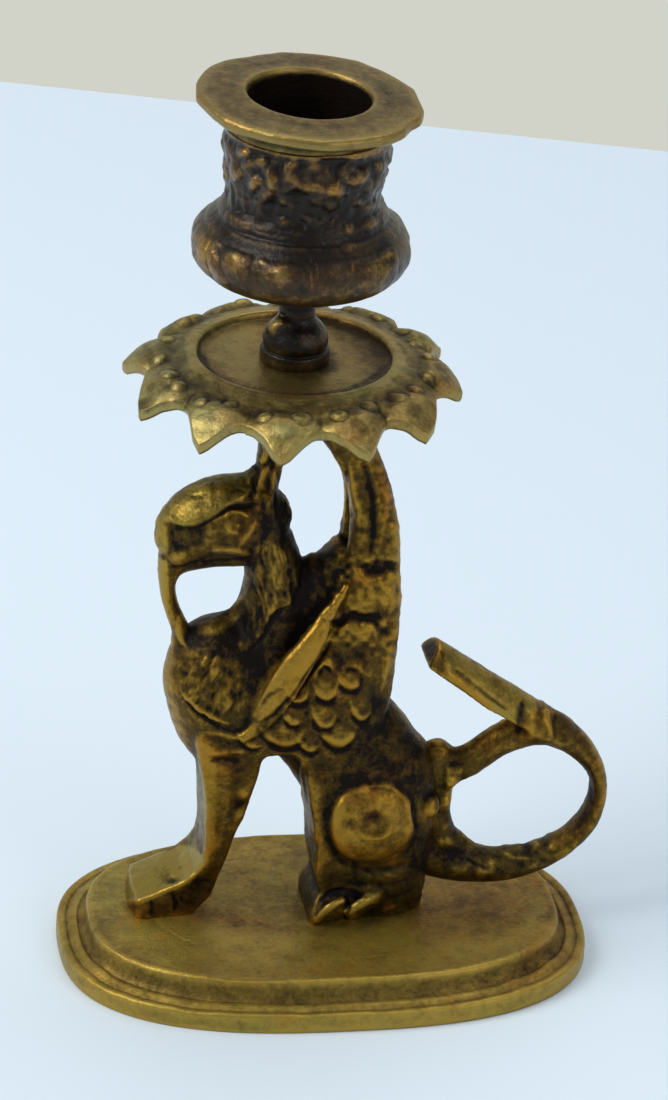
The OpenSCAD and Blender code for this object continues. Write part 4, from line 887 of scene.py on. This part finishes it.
# Each petal by its place round the pan, in petals, its radius and how far it hangs; no two are alike.
TIPS = [(-0.08, 30.6, 4.4), (1.08, 31.3, 4.4), (2.0, 30.8, 4.0), (3.0, 29.6, 3.6), (4.0, 28.8, 3.4), (5.0, 28.8, 3.4),
        (5.94, 31.0, 4.2), (7.15, 32.2, 4.6), (8.07, 32.5, 5.0), (8.96, 31.8, 4.9), (9.92, 31.9, 5.0), (10.74, 31.4, 4.7)]
NOTCHES = [0.70, 1.5, 2.5, 3.5, 4.5, 5.45, 6.42, 7.51, 8.47, 9.45, 10.37, 11.60]
knots = sorted([(tip[0], k) for k, tip in enumerate(TIPS)] + [(n, k + 0.5) for k, n in enumerate(NOTCHES)])
knots = [(a - 12, b - 12) for a, b in knots[-2:]] + knots + [(a + 12, b + 12) for a, b in knots[:2]]
place = np.interp(angle / (2 * math.pi) * 12, [a for a, _ in knots], [b for _, b in knots])
number = np.floor(place + 0.5).astype(int) % 12
u = np.abs(((place + 0.5) % 1) - 0.5) * 2
tip_radius, hang = np.array([tip[1] for tip in TIPS])[number], np.array([tip[2] for tip in TIPS])[number]
wander = noise(np.stack([np.cos(angle), np.sin(angle), 0 * angle], 1) * 30, 4.0, 33)
valley = 26.4 + 0.3 * wander
edge = valley + (tip_radius - valley) * np.minimum(1.12 * (1 - u) ** 1.3, 1 - 0.10 * u / 0.12) + 0.15 * wander
inner, bead = 17.6, 19.3
t = np.linspace(0, 1, 48)[:, None]
radius = bead + (edge[None, :] - bead) * t
out = (radius - bead) / (tip_radius[None, :] - bead)
height = np.interp(out, [0, 0.1, 0.22, 0.34, 0.48, 0.62, 0.8, 1.0], [1.15, 0.9, 0.5, 0.05, -0.7, -1.6, -3.0, -4.6]) + (4.6 - hang[None, :]) * out ** 2
# Each petal is crowned along its middle, with a soft valley between it and its neighbours.
height = height + 1.5 * (1 - u[None, :] ** 2) * smooth((out - 0.25) / 0.3) * (1 - 0.55 * smooth((out - 0.7) / 0.3)) - 0.35 * u[None, :] ** 3 * smooth((out - 0.3) / 0.3)
x, y = radius * np.cos(angle + math.radians(TURN)), radius * np.sin(angle + math.radians(TURN))
# Ring of low pearls, some blurred in the casting.
pearls = np.zeros_like(x)
rng = np.random.default_rng(8)
for at, a in ((23.6, 159), (24.4, 178), (24.4, 195), (25.0, 206), (25.6, 221), (23.8, 233), (24.8, 249), (24.6, 264), (24.3, 280), (23.4, 296),
              (23.6, 312), (24.4, 324), (24.6, 338), (24.6, 358), (23.8, 11), (23.6, 26), (24.2, 41), (23.8, 57), (24.3, 72), (23.6, 88),
              (24.2, 104), (23.8, 120), (23.5, 140)):
    size, tall = rng.uniform(1.05, 1.5), rng.uniform(0.3, 0.5)
    d = np.hypot(x - at * math.cos(math.radians(a)), y - at * math.sin(math.radians(a)))
    pearls += tall * np.exp(-(d / size) ** 4) - 0.15 * np.exp(-((d - size * 1.35) / 0.35) ** 2)
height = height + pearls
lumps = np.stack([x.ravel(), y.ravel(), height.ravel()], 1)
height = height + (noise(lumps, 4.0, 31) * 0.2 + noise(lumps, 1.6, 32) * 0.12).reshape(x.shape) * smooth(t / 0.2)
floor_r = refine([(0.02, 0.0), (inner - 0.5, 0.0)], 0.5)[:, :1]
wall_r = np.array([[17.35], [17.5], [17.62], [17.75], [18.0], [18.4], [18.9]])
wall_h = np.array([[0.05], [0.3], [0.7], [1.0], [1.2], [1.26], [1.2]])
ones = np.ones((1, COUNT))
top_r = np.concatenate([floor_r * ones, wall_r * ones, radius])
top_h = np.concatenate([0 * floor_r * ones, wall_h * ones, height])
# The rim is about 1.3 mm thick, and the underside of each petal is cupped.
tu = np.linspace(1, 0, 24)[:, None]
under_r = bead + (edge[None, :] - 0.3 - bead) * tu
source = np.array([np.interp(tu[:, 0], t[:, 0], height[:, c]) for c in range(0, COUNT)]).T
gap = 2.0 + 0.3 * smooth((1 - tu) / 0.5) + 0.2 * (1 - u[None, :]) * smooth((tu - 0.5) / 0.4)
under_h = source - gap
under_h = under_h * smooth(tu / 0.15) + -2.0 * (1 - smooth(tu / 0.15))
base_r = refine([(18.6, -2.0), (0.02, -2.0)], 0.8)[:, :1]
rings_r = np.concatenate([top_r, edge[None, :] + 0.12 * ones, edge[None, :] + 0.05 * ones, under_r, base_r * ones])
rings_h = np.concatenate([top_h, height[-1:] - 0.45, height[-1:] - 1.6, under_h, -2.0 + 0 * base_r * ones])
turned = angle[None, :] + math.radians(TURN) + 0 * rings_r
points, faces = spun((rings_r, FLOOR_TOP + rings_h, turned))
faces = faces[:, ::-1]
art = Art((112, 288), (476, 470))
P, L, S = art.patch, art.line, art.spot
ellipse = [(296 + 97 * math.cos(a), 353 + 46 * math.sin(a)) for a in np.linspace(0, 2 * math.pi, 41)[:-1]]
P(ellipse, 2, tone=0.40, tint=0.35)
# Painted shade on the floor's right rear, under the cup.
P([(262, 305), (335, 308), (384, 326), (394, 352), (380, 372), (352, 350), (330, 330), (290, 322)], 9, tone=-0.10)
# The floor's front and left are painted lighter, a painted sheen.
P([(205, 352), (230, 372), (280, 385), (330, 382), (360, 372), (330, 362), (262, 366), (240, 350)], 8, tone=0.6, tint=0.1)
P([(203, 350), (214, 330), (240, 314), (268, 306), (256, 330), (240, 352), (236, 368)], 8, tone=0.6, tint=0.2)
P([(264, 350), (332, 350), (336, 372), (300, 380), (262, 370)], 5, tone=-0.18)
L([(200, 338), (201, 356), (214, 374), (242, 388), (290, 397), (345, 390), (378, 372), (394, 352)], 2.2, 0.1, tone=-0.30)
L([(192, 340), (195, 362), (212, 382), (246, 397), (292, 405), (345, 398), (384, 380), (402, 356)], 3.0, 0.1, tone=0.14)
P([(122, 360), (170, 325), (188, 345), (190, 378), (236, 402), (234, 436), (190, 446), (132, 414)], 8, tone=-0.06, tint=-0.3)
P([(330, 405), (410, 380), (440, 340), (466, 390), (430, 436), (372, 456)], 8, tone=-0.14, tint=0.2)
P([(133, 397), (150, 394), (162, 404), (150, 414), (136, 412)], 2.5, tone=-0.5)
# Painted pale highlights on the crowns of the front and left petals.
for at in ((205, 415), (285, 430), (140, 395), (180, 420), (252, 440)):
    S(at, (12, 6), tone=0.26, tint=-0.5)
art.rough([(116, 340), (200, 310), (206, 372), (300, 402), (392, 370), (392, 315), (474, 390), (430, 462), (200, 466), (120, 420)], 9, 0.14, 0.10)
piece("pan_casting", points, faces, ["drip_pan"], pan_brass, seed=9, art=art, mirror=other_side)


# ---------------------------------------------------------------- collar, cup and nozzle

def lathe(profile, gap, count):
    line = refine(profile, gap)
    angle = np.linspace(0, 2 * math.pi, count, endpoint=False)
    ones = np.ones((1, count))
    return line[:, :1] * ones, line[:, 1:2] * ones, angle[None, :] + 0 * line[:, :1]


line = curve([(6.15, 0.0), (6.3, 0.35), (6.3, 1.6), (6.15, 2.3), (5.75, 2.6), (5.8, 3.0), (5.95, 3.8), (5.75, 5.0),
              (5.0, 6.5), (3.9, 7.7), (3.35, 8.6), (3.3, 9.3)], 5)
line = np.concatenate([[(2.2, 0.0)], line, [(2.2, 9.3)]])
rings_r, rings_h, turned = lathe([tuple(p) for p in line], 0.4, 160)
points, faces = spun((rings_r, FLOOR_TOP + rings_h, turned))
# Solder runs round the left of the stem's foot.
for at, size, h in (((-3.4, -1.6, 8.2), 1.5, 1.0), ((-4.6, -2.6, 7.2), 1.3, 0.8), ((-2.6, -3.2, 8.0), 1.1, 0.6), ((-4.9, -0.8, 6.8), 1.1, 0.6)):
    d = np.linalg.norm(points - np.array([AXIS + at[0], at[1], FLOOR_TOP + at[2]]), axis=1)
    away = points - np.array([AXIS, 0, FLOOR_TOP + 5.5])
    away /= np.maximum(np.linalg.norm(away, axis=1), 0.5)[:, None]
    points = points + away * (h * np.exp(-(d / size) ** 2))[:, None]
tone = -0.56 + 0.3 * np.exp(-((points[:, 2] - FLOOR_TOP - 1.2) / 0.7) ** 2)
for at, size in (((-3.4, -1.6, 8.2), 1.5), ((-4.6, -2.6, 7.2), 1.2)):
    tone += 0.7 * np.exp(-(np.linalg.norm(points - np.array([AXIS + at[0], at[1], FLOOR_TOP + at[2]]), axis=1) / size) ** 2)
piece("collar_casting", points, faces, ["collar"], dark_brass, rough=0.16, seed=15, tone=tone)

# Cup: the outline turned round the axis, with faint lobes; its ornament is drawn on the skin.
outline = curve([(3.3, 0), (3.35, 3.4), (3.9, 4.8), (5.6, 5.7), (9.6, 6.6), (14.4, 7.7), (17.6, 9.3), (19.1, 11.4), (19.5, 13.4),
                 (19.1, 15.6), (17.6, 17.7), (15.8, 19.2), (14.95, 20.1), (14.75, 20.8), (14.6, 21.4), (14.2, 22.1), (13.8, 23.2),
                 (13.7, 25), (14.0, 27), (14.5, 29), (14.9, 31), (15.0, 32.6), (14.8, 34.2), (14.6, 35.2), (14.8, 35.8), (14.9, 36.3)], 4)
line = refine([tuple(p) for p in outline], 0.3)
COUNT = 640
angle = np.linspace(-math.pi, math.pi, COUNT, endpoint=False)
A, Z = np.meshgrid(angle, line[:, 1])
base = line[:, :1] + 0 * A
front = math.atan2(-723.6, -143.5 - AXIS)
p = np.stack([base.ravel() * np.cos(A).ravel(), base.ravel() * np.sin(A).ravel(), Z.ravel()], 1)
warp = noise(p, 9.0, 45).reshape(base.shape) * 0.12
# Worn lobes round the belly, clearer to the left than in front.
round_at = (A - front + math.pi) % (2 * math.pi) - math.pi
clear = 0.25 + 0.5 * smooth((-round_at - 0.3) / 0.5) + 0.3 * smooth((round_at - 0.9) / 0.4)
lobe = np.abs(((A + warp) / (2 * math.pi) * 12 + 0.27) % 1 - 0.5) * 2
skin = clear * 0.85 * (np.sqrt(np.clip(1 - lobe ** 2, 0, 1)) - 0.6) * np.exp(-((Z - 13.2) / 3.6) ** 4)
skin -= 0.30 * np.exp(-((Z - 17.6) / 0.5) ** 2) + 0.25 * np.exp(-((Z - 9.4) / 0.45) ** 2) - 0.25 * np.exp(-((Z - 20.3) / 0.5) ** 2)
skin += (noise(p, 3.5, 43) * 0.2 + noise(p, 1.4, 44) * 0.1).reshape(base.shape)
neck_part = smooth((Z - 21.5) / 1.5) * smooth((35.6 - Z) / 1.2)
skin += neck_part * (noise(p, (2.6, 2.6, 3.2), 41) * 0.38 + noise(p, 1.2, 42) * 0.2).reshape(base.shape)
slope = np.gradient(line[:, 1]) / np.maximum(np.hypot(np.gradient(line[:, 0]), np.gradient(line[:, 1])), 1e-6)
live = smooth((Z - 3.4) / 1.5) * smooth((36.1 - Z) / 0.8)
out_r = base + np.minimum(skin, 20.1 - base) * slope[:, None] * live
socket = refine([(14.4, 36.3), (12.5, 36.3), (12.25, 36.0), (12.25, 10.6), (12.0, 10.5), (0.02, 10.5)], 1.2)
first = refine([(0.02, 0.0), (3.2, 0.0)], 0.8)
rings_r = np.concatenate([first[:, :1] + 0 * A[:1], out_r, socket[:, :1] + 0 * A[:1]])
rings_h = np.concatenate([first[:, 1:2] + 0 * A[:1], Z, socket[:, 1:2] + 0 * A[:1]])
points, faces = spun((rings_r, STEM + rings_h, angle[None, :] + 0 * rings_r))
art = Art((180, 118), (426, 322))
P, L, S = art.patch, art.line, art.spot
P([(180, 118), (426, 118), (426, 322), (180, 322)], 1, tone=-0.50, tint=0.2)
P([(215, 128), (262, 142), (345, 148), (400, 136), (402, 160), (398, 214), (345, 240), (262, 236), (222, 214)], 3, tone=-0.30)
P([(222, 150), (262, 150), (264, 235), (225, 215)], 8, tone=-0.18)
P([(345, 150), (398, 148), (392, 215), (350, 250)], 8, tone=-0.16)
# Painted shade over the cup's right side.
P([(325, 150), (398, 148), (416, 250), (392, 292), (325, 298)], 12, tone=-0.2)
# Drapery and leaves of the neck.
for points_, w, h, tone_ in (([(238, 196), (236, 180), (243, 168), (257, 164), (268, 172), (271, 188), (264, 199), (250, 202), (240, 197)], 3.0, 0.7, 0.16),
                             ([(228, 182), (231, 172), (238, 166)], 2.6, 0.5, 0.26), ([(276, 158), (272, 176), (280, 198), (292, 206)], 3.0, 0.55, 0.06),
                             ([(284, 160), (290, 176), (304, 186), (320, 184)], 3.4, 0.6, 0.1), ([(342, 176), (350, 182), (360, 178), (368, 166)], 3.0, 0.6, 0.26),
                             ([(346, 158), (364, 156), (382, 151), (394, 148)], 4.0, 0.5, 0.36), ([(376, 160), (381, 176), (378, 192)], 2.8, 0.5, 0.22),
                             ([(387, 154), (392, 172), (389, 190)], 2.8, 0.5, 0.28), ([(308, 204), (326, 194), (346, 192)], 5.0, 0.6, 0.18),
                             ([(224, 212), (238, 222), (254, 230)], 4.0, 0.4, 0.26), ([(256, 206), (270, 216), (290, 222)], 3.4, 0.4, 0.0),
                             ([(300, 214), (322, 222), (338, 218)], 3.0, 0.4, 0.02), ([(222, 158), (226, 172), (232, 190)], 3.0, 0.5, 0.14),
                             ([(354, 198), (366, 206), (382, 202)], 3.2, 0.5, 0.12), ([(378, 212), (384, 208), (388, 202)], 2.0, 0.3, 0.3)):
    L(points_, 1.6 * w, 0.2, height=0.7 * h, tone=0.5 * tone_ - 0.26)
for at, size, turn, h, tone_ in (((245, 153), (6, 5), 0, 0.7, 0.34), ((262, 160), (6, 4.5), 10, 0.7, 0.30), ((293, 163), (5, 4.5), 0, 0.6, 0.26),
                                 ((255, 184), (5, 8), 10, 0.6, 0.18), ((336, 189), (7, 6), 0, 0.7, 0.24), ((314, 166), (7, 5), 15, 0.5, 0.04),
                                 ((348, 228), (5, 8), 0, 0.5, 0.26), ((369, 223), (8, 6), -10, 0.5, 0.24), ((348, 246), (8, 5), 0, 0.4, 0.34),
                                 ((278, 148), (8, 4), 5, 0.4, 0.1), ((326, 154), (9, 4), 0, 0.4, 0.04), ((330, 206), (6, 5), 0, 0.4, 0.08)):
    S(at, size, turn, 3.0, height=0.75 * h, tone=0.55 * tone_ - 0.12)
for polygon in ([(272, 166), (283, 164), (280, 186)], [(322, 160), (345, 160), (336, 180)], [(252, 168), (262, 170), (262, 178), (252, 178)],
                [(298, 190), (306, 196), (296, 206), (286, 196)], [(352, 164), (370, 160), (362, 174)]):
    P(polygon, 5, height=-0.35, tone=-0.4)
L([(222, 222), (238, 236), (262, 244), (300, 249), (345, 249), (380, 238), (398, 220)], 3.0, 0.1, height=0.15, tone=-0.1)
# Dark glossy belly, painted lighter to the left where the light falls, and worn along its foot.
for at, size, turn, h, tone_ in (((206, 252), (9, 15), -10, 0.5, -0.12), ((236, 264), (13, 13), 0, 0.55, -0.1), ((284, 274), (20, 11), 0, 0.5, -0.2),
                          ((345, 274), (22, 11), 0, 0.4, -0.46), ((394, 254), (9, 14), 15, 0.45, -0.36)):
    S(at, size, turn, 2.4, height=0.8 * h, tone=tone_)
for points_ in ([(214, 238), (220, 262), (226, 280)], [(254, 250), (258, 272), (262, 292)], [(312, 256), (314, 276), (314, 296)], [(378, 250), (379, 270), (376, 288)]):
    L(points_, 3.4, height=-0.2, tone=-0.12)
# Painted light on the belly's left side.
P([(188, 236), (206, 216), (220, 226), (216, 262), (232, 290), (206, 276)], 8, tone=0.0)
# Painted highlights on the lobes, pale and greyish.
for at in ((218, 243), (235, 256), (262, 263), (279, 272)):
    S(at, (6, 4), 30, 2.0, height=0.2, tone=0.0, tint=-0.6)
L([(352, 258), (353, 266), (352, 274)], 2.4, tone=0.05, tint=0.8)
L([(374, 262), (384, 258), (394, 252)], 2.0, tone=0.24)
L([(232, 286), (264, 297), (300, 301), (345, 298), (378, 291), (394, 280)], 4.0, 0.15, tone=-0.25)
piece("cup_casting", points, faces, ["candle_cup"], dark_brass, seed=17, art=art, mirror=other_side)


# Nozzle: tube, sloping shoulder and the hand-cut flange, filed flatter in places.
inside = refine([(12.0, 149.3), (11.0, 149.3), (11.0, 174.9), (11.3, 175.35)], 0.7)[::-1]
line = [(11.3, 175.35), (11.9, 175.48), (13.0, 175.42), (14.0, 175.3), (16.5, 175.28), (19.3, 175.25), (19.9, 175.1), (20.2, 174.6), (20.2, 173.6),
        (19.6, 173.0), (17.4, 172.8), (16.0, 172.3), (15.2, 171.6), (14.7, 170.4), (14.62, 169.8), (12.0, 169.8), (12.0, 149.3)]
line = np.concatenate([refine(line, 0.35), refine([(12.0, 149.3), (11.0, 149.3), (11.0, 174.9), (11.3, 175.35)], 0.7)[1:]])
COUNT = 480
angle = np.linspace(-math.pi, math.pi, COUNT, endpoint=False)
A, Z = np.meshgrid(angle, line[:, 1])
base = line[:, :1] + 0 * A
# Flats and corners of the outline, by the angle from the viewer.
S = np.degrees((angle - front + math.pi) % (2 * math.pi) - math.pi)
cut = np.zeros(COUNT)
for at, width, deep in ((-146, 17, 0.75), (-95, 20, 0.25), (-62, 16, 0.45), (-20, 25, 0.3), (30, 18, 0.5), (66, 9, 0.55), (100, 12, 0.45),
                        (135, 22, 0.6), (175, 20, 0.35)):
    away = (S - at + 180) % 360 - 180
    cut = np.maximum(cut, deep * np.clip(1 - (away / width) ** 2, 0, 1))
cut += 0.12 * noise(np.stack([np.cos(angle), np.sin(angle), 0 * angle], 1) * 20, 2.5, 51)
share = smooth((base - 15.2) / 4.2)
out_r = base - share * (cut[None, :] + 0.0)
dip = 0.22 * noise(np.stack([np.cos(angle), np.sin(angle), 0 * angle], 1) * 12, 9.0, 52)[None, :] * share
# The flange sits a little lower at the viewer's right.
along = base * np.cos(A) * 0.985 - base * np.sin(A) * 0.162
towards = base * np.sin(A) * 0.985 + base * np.cos(A) * 0.162
tilt = (0.3 - along * 0.045 + towards * 0.015) * smooth((Z - 169.8) / 3.4)
rings_h = Z + dip - 0.12 * share + tilt
points, faces = spun((out_r, rings_h, angle[None, :] + 0 * out_r))
faces = faces[:, ::-1]
away = np.hypot(points[:, 0] - AXIS, points[:, 1])
# Tone: near black in the bore, lighter round its rim, and painted shade on the flange's underside.
tone = (-0.95 * smooth((11.9 - away) / 0.6) * smooth((175.2 - points[:, 2]) / 0.8) + 0.2 * np.exp(-((away - 11.6) / 0.4) ** 2)
        - 0.3 * smooth((173.8 - points[:, 2]) / 0.8) * smooth((points[:, 2] - 169.6) / 0.4))
piece("nozzle_casting", points, faces, ["nozzle"], nozzle_brass, body="nozzle", rough=0.06, seed=19, tone=tone)

# Fixings keep their CAD solids and get a finish.
for node, finish in (("stud", steel), ("foot_screws", steel), ("stud_nut", nut_brass), ("foot_washers", nut_brass)):
    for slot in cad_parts[node].material_slots:
        slot.material = finish


# ---------------------------------------------------------------- table, wall, light and camera

def plain(name, colour, rough=0.6):
    mat = bpy.data.materials.new(name)
    mat.use_nodes = True
    nodes, links = mat.node_tree.nodes, mat.node_tree.links
    shader = nodes["Principled BSDF"]
    clouds = nodes.new("ShaderNodeTexNoise")
    clouds.inputs["Scale"].default_value = 3.0
    ramp = nodes.new("ShaderNodeValToRGB")
    for stop, k in zip(ramp.color_ramp.elements, (0.985, 1.0)):
        stop.color = (*(c * k for c in colour), 1)
    links.new(nodes.new("ShaderNodeTexCoord").outputs["Object"], clouds.inputs["Vector"])
    links.new(clouds.outputs["Fac"], ramp.inputs["Fac"])
    links.new(ramp.outputs["Color"], shader.inputs["Base Color"])
    shader.inputs["Roughness"].default_value = rough
    shader.inputs["Specular IOR Level"].default_value = 0.2
    return mat


def sheet(name, corners, mat):
    mesh = bpy.data.meshes.new(name)
    mesh.from_pydata(corners, [], [range(len(corners))])
    obj = bpy.data.objects.new(name, mesh)
    bpy.context.scene.collection.objects.link(obj)
    mesh.materials.append(mat)
    return obj


sheet("table_top", [(-3, -3, 0), (3, -3, 0), (3, -0.486, 0), (-3, 1.366, 0)], plain("table_white", (0.74, 0.84, 0.92)))

world = bpy.data.worlds.new("studio")
world.use_nodes = True
bpy.context.scene.world = world
# A cool soft room, with a cream wall low down behind the table.
nodes, links = world.node_tree.nodes, world.node_tree.links
way = nodes.new("ShaderNodeTexCoord").outputs["Generated"]


def side(vector, low, high):
    """How far a direction lies towards the vector, from none at low to all at high."""
    dot, ramp = nodes.new("ShaderNodeVectorMath"), nodes.new("ShaderNodeMapRange")
    dot.operation, ramp.interpolation_type = "DOT_PRODUCT", "SMOOTHSTEP"
    dot.inputs[1].default_value = vector
    ramp.inputs["From Min"].default_value, ramp.inputs["From Max"].default_value = low, high
    links.new(way, dot.inputs[0])
    links.new(dot.outputs["Value"], ramp.inputs["Value"])
    return ramp.outputs["Result"]


both, wall = nodes.new("ShaderNodeMath"), nodes.new("ShaderNodeMix")
both.operation, wall.data_type = "MULTIPLY", "RGBA"
links.new(side((0.177, 0.573, -1.0), -0.06, 0.06), both.inputs[0])
links.new(side((0.295, 0.955, 0.0), 0.0, 0.2), both.inputs[1])
links.new(both.outputs["Value"], wall.inputs["Factor"])
sockets = [socket for socket in wall.inputs if socket.type == "RGBA"]
sockets[0].default_value, sockets[1].default_value = (0.296, 0.326, 0.370, 1), (0.640, 0.650, 0.580, 1)
links.new([socket for socket in wall.outputs if socket.type == "RGBA"][0], nodes["Background"].inputs["Color"])
nodes["Background"].inputs["Strength"].default_value = 1


def lamp(name, at, towards, size, power, colour):
    data = bpy.data.lights.new(name, "AREA")
    data.shape, data.size, data.size_y = "RECTANGLE", size[0], size[1]
    data.energy, data.color = power, colour
    obj = bpy.data.objects.new(name, data)
    z = unit(np.array(at, float) - np.array(towards, float))
    x = unit(np.cross([0, 0, 1], z))
    y = np.cross(z, x)
    obj.matrix_world = Matrix([[*(float(v) for v in row), float(a)] for row, a in zip(np.stack([x, y, z], 1), at)] + [[0, 0, 0, 1]])
    bpy.context.scene.collection.objects.link(obj)
    return obj


lamp("window", (-1.1, -0.2, 1.1), (0, 0, 0.08), (0.9, 0.9), 15, (1.0, 0.98, 0.94))
lamp("ceiling", (0.3, 0.4, 1.9), (0, 0, 0), (1.6, 1.6), 13.5, (0.93, 0.97, 1.0))
lamp("fill", (0.9, -1.1, 0.7), (0, 0, 0.08), (0.6, 0.6), 3.5, (1.0, 0.93, 0.82))

camera = bpy.data.cameras.new("camera")
camera.sensor_fit, camera.sensor_width = "AUTO", 36
camera.lens = 4495.92 / 1100 * 36
camera.clip_start = 0.05
eye = bpy.data.objects.new("camera", camera)
right, up, ahead = (0.98512, -0.16209, 0.05708), (0.02488, 0.46321, 0.88590), (0.17004, 0.87130, -0.46035)
place = ((-143.482 + SHIFT) * 0.001, -0.723630, 0.467486)
eye.matrix_world = Matrix([[right[i], up[i], -ahead[i], place[i]] for i in range(3)] + [[0, 0, 0, 1]])
bpy.context.scene.collection.objects.link(eye)
bpy.context.scene.camera = eye
bpy.context.scene.view_settings.view_transform = "Standard"
